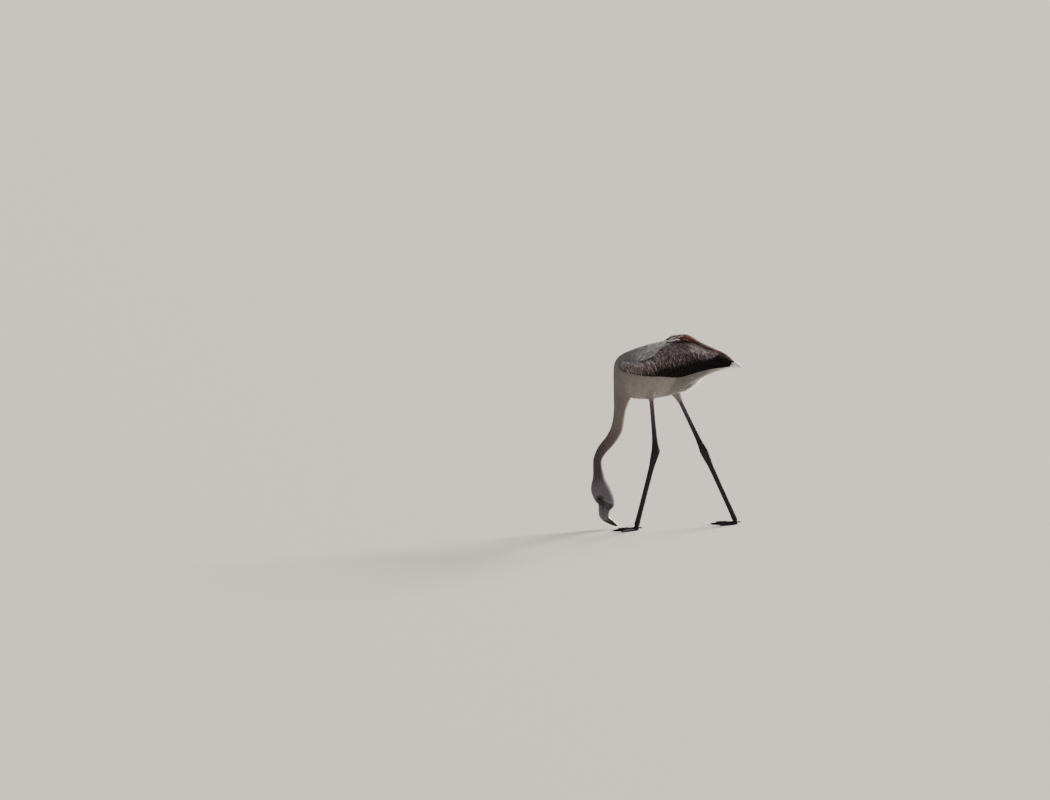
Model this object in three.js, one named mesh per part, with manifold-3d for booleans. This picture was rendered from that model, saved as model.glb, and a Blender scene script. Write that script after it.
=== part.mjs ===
// A young greater flamingo, life size, wading with its head lowered to feed: left leg forward, right leg back.
// Millimetres, +Z up. The bird walks towards -X and its left side is -Y. The origin is on the floor, at the
// middle of the bird's bounding box.
//
// The soft body is drawn as a museum modeller draws it: a side view, as pairs of points on the upper and the
// lower outline, with the half width between them. Smooth curves join the pairs and an oval ring is carried
// along them. Thin cuts then part the whole into its pieces.
import * as THREE from "three";
import { mergeVertices } from "three/addons/utils/BufferGeometryUtils.js";
import Module from "manifold-3d";

const wasm = await Module();
wasm.setup();

// ---------------------------------------------------------------- driving sizes

const GAP = 0.3; // the thin cut between two neighbouring pieces
const LEFT = -1; // the side of Y that each of a pair stands on
const RIGHT = 1;
const TARSUS = 261; // ankle to toe joint
const TOE_JOINT_HEIGHT = 14;
const STANCE = 45; // each foot's distance from the middle line
const EYE_RADIUS = 7.4;
const FAR = 1000; // larger than the bird, for half spaces

// Each station is [upper x, upper z, lower x, lower z, half width].

// Trunk, from the root of the tail to the front of the breast.
const TRUNK = [
  [200, 563, 200, 536, 8], // root of the tail
  [170, 572, 168, 527, 16],
  [133, 589, 131, 515, 30], // rump
  [93, 607, 89, 493, 47],
  [47, 625, 44, 465, 63], // vent
  [0, 632, -2, 447, 72],
  [-50, 624.5, -46, 440, 75], // widest, over the legs
  [-101, 611.5, -96, 437, 71],
  [-146, 595, -135, 450, 60], // shoulders
  [-178, 579.5, -166, 484, 41],
  [-190, 560, -186, 513, 22],
  [-192, 543, -191, 530, 6], // front of the breast
];

// Neck and head, from inside the breast down to the face. The upper line is the nape and the crown.
const NECK_AND_HEAD = [
  [-181, 548, -98, 518, 36], // inside the breast
  [-191, 500, -116, 468, 34],
  [-191.5, 468, -133, 441, 29], // base of the neck
  [-191, 436, -140, 424, 24.5],
  [-191, 401, -148, 399, 20.5],
  [-194.5, 368, -154.5, 364, 18.5],
  [-201.5, 340, -162.5, 327, 17],
  [-217, 311.5, -187, 288.5, 16], // the bend towards the head
  [-243.5, 277.5, -216, 257, 15],
  [-258.5, 242, -230, 234, 13.5], // thinnest
  [-261, 213, -230, 211, 14],
  [-260.5, 190, -224.5, 188, 16],
  [-262, 170, -218, 168, 19.5], // nape
  [-266.5, 150, -207, 149, 23.5],
  [-267.5, 130, -198, 131, 25.5], // crown
  [-262, 112, -191.5, 114, 25],
  [-256.5, 100, -188.2, 101, 22.8], // forehead
  [-251, 91, -187.4, 88.5, 20],
  [-244.5, 84, -189, 77, 17], // foot of the forehead, with the jowl opposite
  [-242.5, 72, -195.5, 68, 15.3],
  [-241.5, 60, -207, 58.5, 13], // inside the bill
];

// The bill's outer lines, from the face to the tip. It is deep and bends sharply halfway.
// The head hangs upside down, so its ridge, the culmen, faces the ground.
const BILL = [
  [-243, 92, -199.5, 77, 14.3], // inside the face
  [-242.4, 74, -203.5, 62, 14.4],
  [-241.6, 56, -206, 50, 14],
  [-238, 40, -205, 41, 13.3], // the bend
  [-227, 27.5, -198.5, 34, 12.2],
  [-212, 19, -190.5, 27.4, 10.3],
  [-197, 12.2, -184, 20.3, 7.6],
  [-185, 8.2, -178.2, 14.4, 4.4],
  [-179.4, 8.4, -177, 11.2, 1.6], // tip
];
// The share of the bill's depth that the upper half takes, from the face to the tip.
const UPPER_SHARE = [0.42, 0.36, 0.4, 0.55];
const UPPER_WIDTH_SHARE = 0.84; // the upper half closes on the wider lower half like a lid

// The cuts across the neck and head, as [x, z] on the neck's middle line and the direction down the neck.
const CUTS = {
  breast: { at: [-160, 467], down: [-0.6, -0.8] },
  upperNeck: { at: [-176, 360], down: [-0.14, -0.99] },
  lowerNeck: { at: [-231, 265], down: [-0.6, -0.8] },
  nape: { at: [-240, 172], down: [0.02, -1] },
  face: { at: [-220, 72.5], down: [-0.52, -0.854] },
};

const EYE = { x: -239.4, z: 102, depth: 14.6 }; // depth is the eye's centre from the middle line

// The folded wing, from the wrist to the tip of the longest primary. Each station is
// [x, upper edge's distance from the middle line, its height, lower edge's distance, its height, bulge, thickness].
const WING = [
  [-181, 36, 557, 38, 543, 2, 6], // wrist
  [-164, 43, 571, 50, 534, 7, 9],
  [-130, 50, 581, 64, 526, 14, 10],
  [-90, 53, 595, 72, 520, 18, 10],
  [-45, 46, 614, 77, 520, 24, 10],
  [0, 34, 628, 75, 516, 28, 10],
  [36, 26, 633, 67, 518, 26, 10],
  [75, 21, 629, 54, 527, 20, 10],
  [115, 16, 612, 40, 535, 14, 9],
  [155, 12, 597, 28, 540, 9, 8],
  [193, 9, 578, 18, 541, 5, 7],
  [214, 8, 563, 12, 546, 3, 5],
  [219, 8, 557, 9, 551, 1, 3], // tip
];
const WING_HOLLOW = 0.4; // how far the inner face follows the bulge of the outer
const WINGTIP_CUT = { at: [112, 575], direction: [0.94, -0.34] };
const TAIL_CUT = { at: [176, 550], direction: [1, -0.15] };

// The long tertials lie over the back and the wing tips, with a ragged crest behind the shoulders.
// Each station is [x, height of the upper edge, depth, distance from the middle line, half width].
const TERTIALS = [
  [-16, 633, 8, 22, 8],
  [8, 643, 14, 21.5, 16],
  [36, 646.5, 17, 20, 18],
  [66, 644, 17, 18.5, 16.5],
  [98, 625, 14, 15.5, 13.5],
  [140, 605.5, 12, 12, 10],
  [178, 588, 10, 8.5, 6.5],
  [204, 571.5, 5.5, 6, 3],
  [211, 567, 1.6, 6, 0.8],
];

const TAIL = [
  [150, 560, 150, 532, 13],
  [185, 566, 185, 534, 17],
  [212, 565, 212, 535.5, 19],
  [228, 555, 229, 536, 16],
  [240, 544, 240, 538, 9],
  [243.5, 541, 243.5, 539.5, 4], // tip
];

// Legs: the end of the feathering, the ankle's tilt to the foot, and the radii, fore and aft by across.
const LEGS = {
  left: {
    side: LEFT,
    knee: [-73, 492],
    featherEnd: [-70, 434],
    ankleX: -55.5,
    lean: -14.3, // degrees from the ankle to the foot, forward is negative
    toeOut: 8,
  },
  right: {
    side: RIGHT,
    knee: [6, 492],
    featherEnd: [43, 417],
    ankleX: 121.5,
    lean: 24.4,
    toeOut: 8,
  },
};
const KNEE_SPREAD = 45;
const THIGH_RADII = [30, 27, 19, 11.5, 8];
// Stations down the leg, as [share of the shank or, over 1, of the tarsus, fore and aft radius, across radius].
const LEG_RADII = [
  [0, 7.7, 6.6],
  [0.35, 7.7, 6.5],
  [0.7, 8.8, 7],
  [0.86, 11, 8.6],
  [0.95, 13.4, 10.4],
  [1, 14.4, 11.2],
  [1.05, 13.8, 10.8],
  [1.12, 12, 9],
  [1.24, 9.3, 7.2],
  [1.55, 8.5, 6.4],
  [1.85, 8.6, 6.6],
  [1.95, 9.3, 7.8],
  [2, 9.4, 8.8],
];

// Toes, as [name, length from the toe joint to the claw, angle from straight ahead; outward is positive].
const TOES = [
  ["inner", 60, -35],
  ["middle", 79, 0],
  ["outer", 71, 33],
];
const TOE_RADII = [6.4, 5.4, 5, 4.4, 3.2]; // along a toe, from joint to claw
const WEB_THICKNESS = 2;
const WEB_HEIGHT = 1.2; // of its lower face, above the floor
const WEB_REACH = 0.86; // share of each toe's length
const WEB_SCALLOP = 0.66; // the web's edge between two toes, as a share of their mean length
const HIND_TOE = { length: 15, radius: 3, height: 13 };
const CLAW = { length: 8, root: 2.7, tip: 0.7 };

const PALE_GREY = { color: 0xb5ad9f, roughness: 0.9, metalness: 0 };
const GREY_BROWN = { color: 0x7d7066, roughness: 0.9, metalness: 0 };
const DARK_BROWN = { color: 0x4a3a35, roughness: 0.85, metalness: 0 };
const BLACK = { color: 0x1c171a, roughness: 0.7, metalness: 0 };
const WHITE = { color: 0xe4e2dc, roughness: 0.9, metalness: 0 };
const LEG_GREY = { color: 0x3b3338, roughness: 0.6, metalness: 0 };
const BILL_GREY = { color: 0x5c575c, roughness: 0.5, metalness: 0 };
const EYE_BROWN = { color: 0x1d120d, roughness: 0.1, metalness: 0 };

// ---------------------------------------------------------------- shapes

// A closed geometry as a manifold-3d solid with its faces pointing out.
function solidOf(geometry) {
  const bare = new THREE.BufferGeometry();
  const flat = geometry.index ? geometry.toNonIndexed() : geometry;
  bare.setAttribute("position", flat.getAttribute("position"));
  const merged = mergeVertices(bare, 1e-4);
  const corners = merged.index.array;
  const faces = [];
  for (let i = 0; i < corners.length; i += 3) {
    const [a, b, c] = corners.slice(i, i + 3);
    if (a !== b && b !== c && c !== a) faces.push([a, b, c]);
  }
  const made = (triangles) =>
    new wasm.Manifold(
      new wasm.Mesh({
        numProp: 3,
        vertProperties: merged.getAttribute("position").array,
        triVerts: new Uint32Array(triangles.flat()),
      }),
    );
  const solid = made(faces);
  return solid.volume() < 0 ? made(faces.map((f) => f.reverse())) : solid;
}

function geometryOf(solid) {
  const mesh = solid.getMesh();
  const places = new Float32Array(mesh.numVert * 3);
  for (let i = 0; i < mesh.numVert; i++) {
    places.set(mesh.vertProperties.subarray(i * mesh.numProp, i * mesh.numProp + 3), i * 3);
  }
  const geometry = new THREE.BufferGeometry();
  geometry.setAttribute("position", new THREE.BufferAttribute(places, 3));
  geometry.setIndex(new THREE.BufferAttribute(mesh.triVerts, 1));
  geometry.computeVertexNormals();
  return geometry;
}

// The same solid with its skin moved outwards, so that cutting it from a neighbour leaves a thin gap.
function swollen(solid) {
  const geometry = geometryOf(solid);
  const places = geometry.getAttribute("position");
  const normals = geometry.getAttribute("normal");
  const point = new THREE.Vector3();
  const out = new THREE.Vector3();
  for (let i = 0; i < places.count; i++) {
    out.fromBufferAttribute(normals, i);
    point.fromBufferAttribute(places, i).addScaledVector(out, GAP * Math.SQRT2);
    places.setXYZ(i, point.x, point.y, point.z);
  }
  return solidOf(geometry);
}

// A curve through the given points, read by a share from 0 to 1.
function through(points) {
  return new THREE.CatmullRomCurve3(points, false, "catmullrom", 0.5);
}

// A curve through plain numbers, evenly spaced.
function numbers(values) {
  const line = through(values.map((value) => new THREE.Vector3(value, 0, 0)));
  return (share) => line.getPoint(share).x;
}

// A cylinder whose rings are carried to other places: rim(share, angle) is a point of the ring.
function carried(middle, rim, around, along) {
  const tube = new THREE.CylinderGeometry(1, 1, 1, around, along);
  const places = tube.getAttribute("position");
  const unit = new THREE.Vector3();
  for (let i = 0; i < places.count; i++) {
    unit.fromBufferAttribute(places, i);
    const share = 0.5 - unit.y;
    const reach = Math.hypot(unit.x, unit.z);
    const point = middle(share).lerp(rim(share, Math.atan2(unit.x, unit.z)), reach);
    places.setXYZ(i, point.x, point.y, point.z);
  }
  return solidOf(tube);
}

// The upper and lower line and the half width of a list of stations.
function linesOf(stations) {
  return {
    upper: through(stations.map(([x, z]) => new THREE.Vector3(x, 0, z))),
    lower: through(stations.map((s) => new THREE.Vector3(s[2], 0, s[3]))),
    half: numbers(stations.map((s) => s[4])),
  };
}

// An oval ring carried between two lines.
function between(stations, around, along) {
  const { upper, lower, half } = linesOf(stations);
  const middle = (share) => upper.getPoint(share).lerp(lower.getPoint(share), 0.5);
  return carried(
    middle,
    (share, angle) => {
      const spoke = upper.getPoint(share).sub(middle(share)).multiplyScalar(Math.cos(angle));
      const side = new THREE.Vector3(0, Math.sin(angle) * half(share), 0);
      return middle(share).add(spoke).add(side);
    },
    around,
    along,
  );
}

// Everything on the side of a plane that its direction points to, in the side view.
function beyond([x, z], [alongX, alongZ]) {
  const block = new THREE.BoxGeometry(2 * FAR, 2 * FAR, 2 * FAR);
  block.translate(0, 0, FAR);
  block.applyQuaternion(
    new THREE.Quaternion().setFromUnitVectors(
      new THREE.Vector3(0, 0, 1),
      new THREE.Vector3(alongX, 0, alongZ).normalize(),
    ),
  );
  block.translate(x, 0, z);
  return solidOf(block);
}

// The parts of a solid before and after a thin cut.
function parted(solid, { at: [x, z], direction: [alongX, alongZ] }) {
  const length = Math.hypot(alongX, alongZ);
  const step = GAP / 2 / length;
  const after = beyond([x + alongX * step, z + alongZ * step], [alongX, alongZ]);
  const before = beyond([x - alongX * step, z - alongZ * step], [-alongX, -alongZ]);
  return [solid.intersect(before), solid.intersect(after)];
}

function sphere([x, y, z], radius, around = 12, down = 6) {
  const ball = new THREE.SphereGeometry(radius, around, down);
  ball.translate(x, y, z);
  return solidOf(ball);
}

// A round limb along a path, with a radius fore and aft and one across at each of its points.
function limb(points, radii, around, along) {
  const path = through(points);
  const deep = numbers(radii.map(([fore]) => fore));
  const wide = numbers(radii.map(([, across]) => across));
  return carried(
    (share) => path.getPoint(share),
    (share, angle) => {
      const heading = path.getTangent(share);
      const across = new THREE.Vector3(0, 1, 0).cross(heading).cross(heading).normalize();
      const fore = heading.clone().cross(across).normalize();
      return path
        .getPoint(share)
        .addScaledVector(fore, Math.cos(angle) * deep(share))
        .addScaledVector(across, Math.sin(angle) * wide(share));
    },
    around,
    along,
  );
}

// ---------------------------------------------------------------- head and neck

// The upper or the lower half of the bill: a ring that is flat along the mouth.
function billHalf(isUpper) {
  const { upper: culmen, lower: keel, half } = linesOf(BILL);
  const share = numbers(UPPER_SHARE);
  const length = (t) => culmen.getPoint(t).distanceTo(keel.getPoint(t));
  const mouth = (t) => {
    const cut = share(t) + ((isUpper ? -0.5 : 0.5) * GAP) / length(t);
    return culmen.getPoint(t).lerp(keel.getPoint(t), cut);
  };
  const outer = isUpper ? culmen : keel;
  const width = (t) => half(t) * (isUpper ? UPPER_WIDTH_SHARE : 1);
  return carried(
    (t) => mouth(t).lerp(outer.getPoint(t), 0.5),
    (t, angle) => {
      const rise = Math.max(0, Math.cos(angle)) ** 0.8; // the lower half of the turn lies on the mouth
      const side = Math.sin(angle) * width(t);
      return mouth(t)
        .lerp(outer.getPoint(t), rise)
        .add(new THREE.Vector3(0, side, 0));
    },
    14,
    12,
  );
}

function eyes() {
  return [LEFT, RIGHT].map((side) => [EYE.x, side * EYE.depth, EYE.z]);
}

// ---------------------------------------------------------------- wings, tertials and tail

// A folded wing: a ring that bulges outwards between the wing's upper and lower edge.
function wing(side) {
  const upper = through(WING.map(([x, y, z]) => new THREE.Vector3(x, side * y, z)));
  const lower = through(WING.map((s) => new THREE.Vector3(s[0], side * s[3], s[4])));
  const bulge = numbers(WING.map((s) => s[5]));
  const thick = numbers(WING.map((s) => s[6]));
  const middle = (share) => upper.getPoint(share).lerp(lower.getPoint(share), 0.5);
  const outwards = (share) => {
    const chord = upper.getPoint(share).sub(lower.getPoint(share));
    return new THREE.Vector3(0, side * chord.z, -side * chord.y).normalize();
  };
  return carried(
    (share) => middle(share).addScaledVector(outwards(share), bulge(share) - thick(share) / 2),
    (share, angle) => {
      const chord = upper.getPoint(share).sub(middle(share)).multiplyScalar(Math.cos(angle));
      const follow = Math.sin(angle) < 0 ? WING_HOLLOW : 1;
      const arch = follow * bulge(share) * Math.sin(angle) ** 2;
      const shell = (Math.sin(angle) / 2 - 0.25) * thick(share);
      return middle(share)
        .add(chord)
        .addScaledVector(outwards(share), arch + shell);
    },
    12,
    16,
  );
}

function tertials(side) {
  const line = through(TERTIALS.map(([x, z, deep, y]) => new THREE.Vector3(x, side * y, z - deep / 2)));
  const deep = numbers(TERTIALS.map((s) => s[2] / 2));
  const half = numbers(TERTIALS.map((s) => s[4]));
  return carried(
    (share) => line.getPoint(share),
    (share, angle) =>
      line
        .getPoint(share)
        .add(
          new THREE.Vector3(0, Math.sin(angle) * half(share), Math.cos(angle) * deep(share)),
        ),
    10,
    9,
  );
}

// ---------------------------------------------------------------- legs and feet

// The ankle and the toe joint of a leg, from its lean.
function jointsOf({ side, ankleX, lean }) {
  const angle = THREE.MathUtils.degToRad(lean);
  const ankleZ = TOE_JOINT_HEIGHT + TARSUS * Math.cos(angle);
  const footX = ankleX + TARSUS * Math.sin(angle);
  return {
    ankle: new THREE.Vector3(ankleX, side * STANCE, ankleZ),
    toeJoint: new THREE.Vector3(footX, side * STANCE, TOE_JOINT_HEIGHT),
  };
}

function thigh(leg) {
  const { side, knee, featherEnd } = leg;
  const top = new THREE.Vector3(knee[0], side * KNEE_SPREAD, knee[1]);
  const end = new THREE.Vector3(featherEnd[0], side * STANCE, featherEnd[1]);
  const points = THIGH_RADII.map((_, i) => top.clone().lerp(end, i / (THIGH_RADII.length - 1)));
  return limb(
    points,
    THIGH_RADII.map((radius) => [radius, radius * 0.85]),
    12,
    8,
  );
}

// The bare leg as one limb, from inside the feathering to the toe joint.
function bareLeg(leg) {
  const { ankle, toeJoint } = jointsOf(leg);
  const top = new THREE.Vector3(leg.featherEnd[0], leg.side * STANCE, leg.featherEnd[1] - GAP);
  const placeOf = (share) =>
    share <= 1 ? top.clone().lerp(ankle, share) : ankle.clone().lerp(toeJoint, share - 1);
  return limb(
    LEG_RADII.map(([share]) => placeOf(share)),
    LEG_RADII.map(([, fore, across]) => [fore, across]),
    10,
    20,
  );
}

// Straight ahead is -X. A toe's angle turns outwards, away from the middle line.
function toeHeading(leg, degrees) {
  const angle = THREE.MathUtils.degToRad(degrees + leg.toeOut);
  return new THREE.Vector3(-Math.cos(angle), leg.side * Math.sin(angle), 0);
}

function toe(leg, length, degrees) {
  const { toeJoint } = jointsOf(leg);
  const heading = toeHeading(leg, degrees);
  const last = TOE_RADII.length - 1;
  const points = TOE_RADII.map((radius, i) => {
    const point = toeJoint.clone().addScaledVector(heading, (length * i) / last);
    point.z = radius - 1 + (i === 0 ? 3 : 0);
    return point;
  });
  const path = through(points);
  const radius = numbers(TOE_RADII);
  const across = new THREE.Vector3(-heading.y, heading.x, 0);
  return carried(
    (share) => path.getPoint(share),
    (share, angle) =>
      path
        .getPoint(share)
        .addScaledVector(across, Math.sin(angle) * radius(share) * 0.95)
        .add(new THREE.Vector3(0, 0, Math.cos(angle) * radius(share))),
    8,
    3,
  );
}

// The web between two neighbouring toes, with its front edge hollowed.
function web(leg, [, lengthA, degreesA], [, lengthB, degreesB]) {
  const { toeJoint } = jointsOf(leg);
  const spot = (length, degrees) => {
    const at = toeJoint.clone().addScaledVector(toeHeading(leg, degrees), length);
    return new THREE.Vector2(at.x, at.y);
  };
  const endA = spot(lengthA * WEB_REACH, degreesA);
  const endB = spot(lengthB * WEB_REACH, degreesB);
  const hollow = spot(((lengthA + lengthB) / 2) * WEB_SCALLOP, (degreesA + degreesB) / 2);
  const outline = new THREE.Shape();
  outline.moveTo(toeJoint.x, toeJoint.y);
  outline.lineTo(endA.x, endA.y);
  outline.quadraticCurveTo(hollow.x, hollow.y, endB.x, endB.y);
  outline.closePath();
  const plate = new THREE.ExtrudeGeometry(outline, {
    depth: WEB_THICKNESS,
    bevelEnabled: false,
    curveSegments: 4,
  });
  plate.translate(0, 0, WEB_HEIGHT);
  return solidOf(plate);
}

function claw(leg, length, degrees, height) {
  const { toeJoint } = jointsOf(leg);
  const heading = toeHeading(leg, degrees);
  const root = toeJoint.clone().addScaledVector(heading, length - 2);
  const tip = toeJoint.clone().addScaledVector(heading, length - 2 + CLAW.length);
  root.z = height;
  tip.z = height - 1.2;
  const middle = root.clone().lerp(tip, 0.5).setZ(height + 0.6);
  return limb(
    [root, middle, tip],
    [CLAW.root, CLAW.root * 0.75, CLAW.tip].map((radius) => [radius, radius]),
    6,
    2,
  );
}

// The small hind toe, off the floor at the back of the foot.
function hindToe(leg) {
  const { toeJoint } = jointsOf(leg);
  const root = toeJoint.clone().setZ(HIND_TOE.height);
  const tip = root.clone().addScaledVector(toeHeading(leg, 180 - 2 * leg.toeOut), HIND_TOE.length);
  tip.z = HIND_TOE.height - 5;
  return limb(
    [root, root.clone().lerp(tip, 0.5), tip],
    [HIND_TOE.radius + 1, HIND_TOE.radius, HIND_TOE.radius - 0.6].map((radius) => [radius, radius]),
    6,
    2,
  );
}

function foot(leg) {
  const pad = sphere(jointsOf(leg).toeJoint.clone().setZ(8.5).toArray(), 9.4, 8, 5);
  return TOES.map(([, length, degrees]) => toe(leg, length, degrees))
    .concat([web(leg, TOES[0], TOES[1]), web(leg, TOES[1], TOES[2]), hindToe(leg), pad])
    .reduce((whole, piece) => whole.add(piece))
    .intersect(beyond([0, 0], [0, 1]));
}

// ---------------------------------------------------------------- the bird

const bird = new THREE.Group();

// Adds the largest body of a solid as a named mesh: a cut can leave crumbs along its rim.
function add(name, solid, finish) {
  const whole = solid.decompose().sort((a, b) => b.volume() - a.volume())[0];
  const mesh = new THREE.Mesh(geometryOf(whole), new THREE.MeshStandardMaterial(finish));
  mesh.name = name;
  bird.add(mesh);
  return whole;
}

const plainTrunk = between(TRUNK, 20, 18);
const neckAndHead = between(NECK_AND_HEAD, 16, 40);
const cutAt = ({ at, down }) => ({ at, direction: down });

// The trunk and neck are one shape, so that the neck flows out of the breast, and are then parted.
const wholeTrunk = plainTrunk.add(between(TAIL, 14, 6)).add(neckAndHead);
const [aboveNeck, belowBreast] = parted(wholeTrunk, cutAt(CUTS.breast));
const seats = [LEFT, RIGHT].flatMap((side) => [wing(side), tertials(side)]).map(swollen);
const seated = seats.reduce((whole, seat) => whole.subtract(seat), aboveNeck);
const [trunk, tail] = parted(seated, TAIL_CUT);
add("trunk", trunk, PALE_GREY);
add("tail", tail, WHITE);

const [neckBase, belowBase] = parted(belowBreast, cutAt(CUTS.upperNeck));
const [neckMiddle, belowMiddle] = parted(belowBase, cutAt(CUTS.lowerNeck));
const [neckUpper, belowNeck] = parted(belowMiddle, cutAt(CUTS.nape));
const [wholeHead] = parted(belowNeck, cutAt(CUTS.face));
const head = eyes().reduce((rest, at) => rest.subtract(sphere(at, EYE_RADIUS + GAP)), wholeHead);
add("neck_base", neckBase, GREY_BROWN);
add("neck_middle", neckMiddle, GREY_BROWN);
add("neck_upper", neckUpper, GREY_BROWN);
add("head", head, GREY_BROWN);
add("bill_upper", parted(billHalf(true), cutAt(CUTS.face))[1], BILL_GREY);
add("bill_lower", parted(billHalf(false), cutAt(CUTS.face))[1], BILL_GREY);

eyes().forEach((at, i) => add(i === 0 ? "eye_left" : "eye_right", sphere(at, EYE_RADIUS), EYE_BROWN));

const wingtips = [];
for (const [name, side] of [
  ["left", LEFT],
  ["right", RIGHT],
]) {
  const overlay = swollen(tertials(side));
  const [arm, hand] = parted(wing(side).subtract(overlay), WINGTIP_CUT);
  add(`wing_${name}`, arm, DARK_BROWN);
  wingtips.push(add(`wingtip_${name}`, hand, BLACK));
  add(`tertials_${name}`, tertials(side), DARK_BROWN);
}

for (const [name, leg] of Object.entries(LEGS)) {
  add(`thigh_${name}`, thigh(leg).subtract(swollen(plainTrunk)), PALE_GREY);
  const { ankle } = jointsOf(leg);
  const [shank, tarsus] = parted(bareLeg(leg), { at: [ankle.x, ankle.z], direction: [0, -1] });
  add(`shank_${name}`, shank, LEG_GREY);
  const claws = TOES.map(([toeName, length, degrees]) => [toeName, length, degrees, 3.2]);
  claws.push(["hind", HIND_TOE.length, 180 - 2 * leg.toeOut, HIND_TOE.height - 5]);
  const clawOf = ([, length, degrees, height]) => claw(leg, length, degrees, height);
  const wholeFoot = claws.reduce((rest, each) => rest.subtract(swollen(clawOf(each))), foot(leg));
  const toeJointCut = { at: [0, TOE_JOINT_HEIGHT + 3], direction: [0, -1] };
  const [tarsusAbove] = parted(tarsus, toeJointCut);
  const [, footBelow] = parted(wholeFoot, toeJointCut);
  add(`tarsus_${name}`, tarsusAbove, LEG_GREY);
  add(`foot_${name}`, footBelow, LEG_GREY);
  for (const each of claws) add(`claw_${name}_${each[0]}`, clawOf(each), BLACK);
}

// The origin goes to the middle of the bird's box, on the floor.
const box = new THREE.Box3().setFromObject(bird);
const middle = box.getCenter(new THREE.Vector3());
bird.position.set(-middle.x, -middle.y, -box.min.z);

export default bird;
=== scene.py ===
import bmesh
import bpy
import mathutils
import numpy as np
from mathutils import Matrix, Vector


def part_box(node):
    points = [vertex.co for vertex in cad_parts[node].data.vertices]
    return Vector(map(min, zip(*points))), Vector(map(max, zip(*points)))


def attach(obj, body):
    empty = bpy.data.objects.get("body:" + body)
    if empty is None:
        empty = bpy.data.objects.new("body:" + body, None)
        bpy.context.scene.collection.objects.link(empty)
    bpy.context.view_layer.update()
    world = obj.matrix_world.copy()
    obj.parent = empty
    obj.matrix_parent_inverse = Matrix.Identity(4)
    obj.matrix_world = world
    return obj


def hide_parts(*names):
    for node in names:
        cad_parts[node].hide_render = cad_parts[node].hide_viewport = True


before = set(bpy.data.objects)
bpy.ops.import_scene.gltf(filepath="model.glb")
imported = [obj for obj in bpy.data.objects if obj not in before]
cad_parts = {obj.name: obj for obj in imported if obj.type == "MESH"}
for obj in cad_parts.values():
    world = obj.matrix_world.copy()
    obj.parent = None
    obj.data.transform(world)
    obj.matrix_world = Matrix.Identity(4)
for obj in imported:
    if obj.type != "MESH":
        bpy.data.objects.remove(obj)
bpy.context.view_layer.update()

rng = np.random.default_rng(7)

# --------------------------------------------------------------------------------------------------
# The body's skin: one closed surface over trunk, neck and head, under the plumage by the depth of the coat.
# An oval ring runs along pairs of points on the upper and the lower outline, round the bend at the breast,
# from the root of the tail to the face. Bare skin shows only on the face, grey and finely wrinkled.

EYE = np.array([-239.4, -14.6, 102.0])  # middle of the left eye, which fixes where the origin lies
eye_low, eye_high = (np.array(corner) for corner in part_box("eye_left"))
ORIGIN = EYE - (eye_low + eye_high) * 500.0

# upper x, upper z, lower x, lower z, half width, of the plumage's outer surface
BODY = np.array([
    [200, 563, 200, 536, 8],  # root of the tail
    [170, 572, 168, 527, 16],
    [133, 589, 131, 515, 30],  # rump
    [93, 607, 89, 493, 47],
    [47, 625, 44, 465, 63],  # vent
    [0, 632, -2, 447, 72],
    [-50, 624.5, -46, 440, 75],  # widest, over the legs
    [-101, 611.5, -94, 437, 71],
    [-142, 597, -118, 438, 63],  # shoulders
    [-169, 584.5, -125, 439, 57],
    [-184, 568, -128, 440, 49],
    [-190.5, 548, -129.5, 441, 42],  # the turn into the neck
    [-192, 520, -131, 441.5, 37],
    [-191.8, 494, -132.5, 441.5, 32.5],
    [-191.5, 468, -135, 438.5, 29],
    [-191, 436, -140.5, 424, 24.5],
    [-191, 401, -148, 399, 20.5],
    [-194.5, 368, -154.5, 364, 18.5],
    [-201.5, 340, -162.5, 327, 17],
    [-217, 311.5, -187, 288.5, 16],  # the bend towards the head
    [-243.5, 277.5, -216, 257, 15],
    [-258.5, 242, -230, 234, 13.5],
    [-261, 213, -230, 211, 14],
    [-260.5, 190, -224.5, 188, 16],
    [-262, 170, -218, 168, 19.5],  # nape
    [-266.5, 150, -207, 149, 23.5],
    [-267.5, 130, -198, 131, 25.5],  # crown
    [-262, 112, -191.5, 114, 25],
    [-256.5, 100, -188.2, 101, 22.8],  # forehead
    [-251, 91, -187.4, 88.5, 20],
    [-244.5, 84, -189, 77, 17],  # foot of the forehead, with the jowl opposite
    [-242.5, 72, -195.5, 68, 15.3],
    [-241.5, 60, -207, 58.5, 13],  # inside the bill
])[::-1]
RINGS, SPOKES = 640, 96
COAT_DEPTH = ([0, 45, 110, 330, 420, 500, 836], [0.5, 1.6, 2.6, 3.4, 6, 7.5, 7.5])  # against mm from the face
FULL = 2 * np.pi
SIDEWAYS, UP = np.array([0.0, 1.0, 0.0]), np.array([0.0, 0.0, 1.0])


def smooth_line(points, count):
    """Points evenly along the parameter of a smooth line through the given ones: between two neighbours it is
    the cubic whose slope at each of them is half the step between the points on its two sides."""
    p = np.asarray(points, float)
    p = np.concatenate([2 * p[:1] - p[1:2], p, 2 * p[-1:] - p[-2:-1]])
    u = np.linspace(0, len(p) - 3, count)
    i = np.minimum(u.astype(int), len(p) - 4)
    f = (u - i)[:, None]
    a, b, c, d = p[i], p[i + 1], p[i + 2], p[i + 3]
    return b + 0.5 * f * (c - a + f * (2 * a - 5 * b + 4 * c - d + f * (3 * (b - c) + d - a)))


def unit(vectors):
    """Each vector divided by its own length."""
    return vectors / np.maximum(np.linalg.norm(vectors, axis=-1, keepdims=True), 1e-9)


def turns(count):
    """Angles evenly round a circle."""
    return np.linspace(0, FULL, count, endpoint=False)


def ovals(middle, fore, across, turn):
    """Rings round a line: its point, plus the cosine of the turn times the first half axis there, plus the
    sine times the second."""
    cosine, sine = np.cos(turn)[None, :, None], np.sin(turn)[None, :, None]
    return middle[:, None] + (cosine * fore[:, None] + sine * across[:, None])


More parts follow.
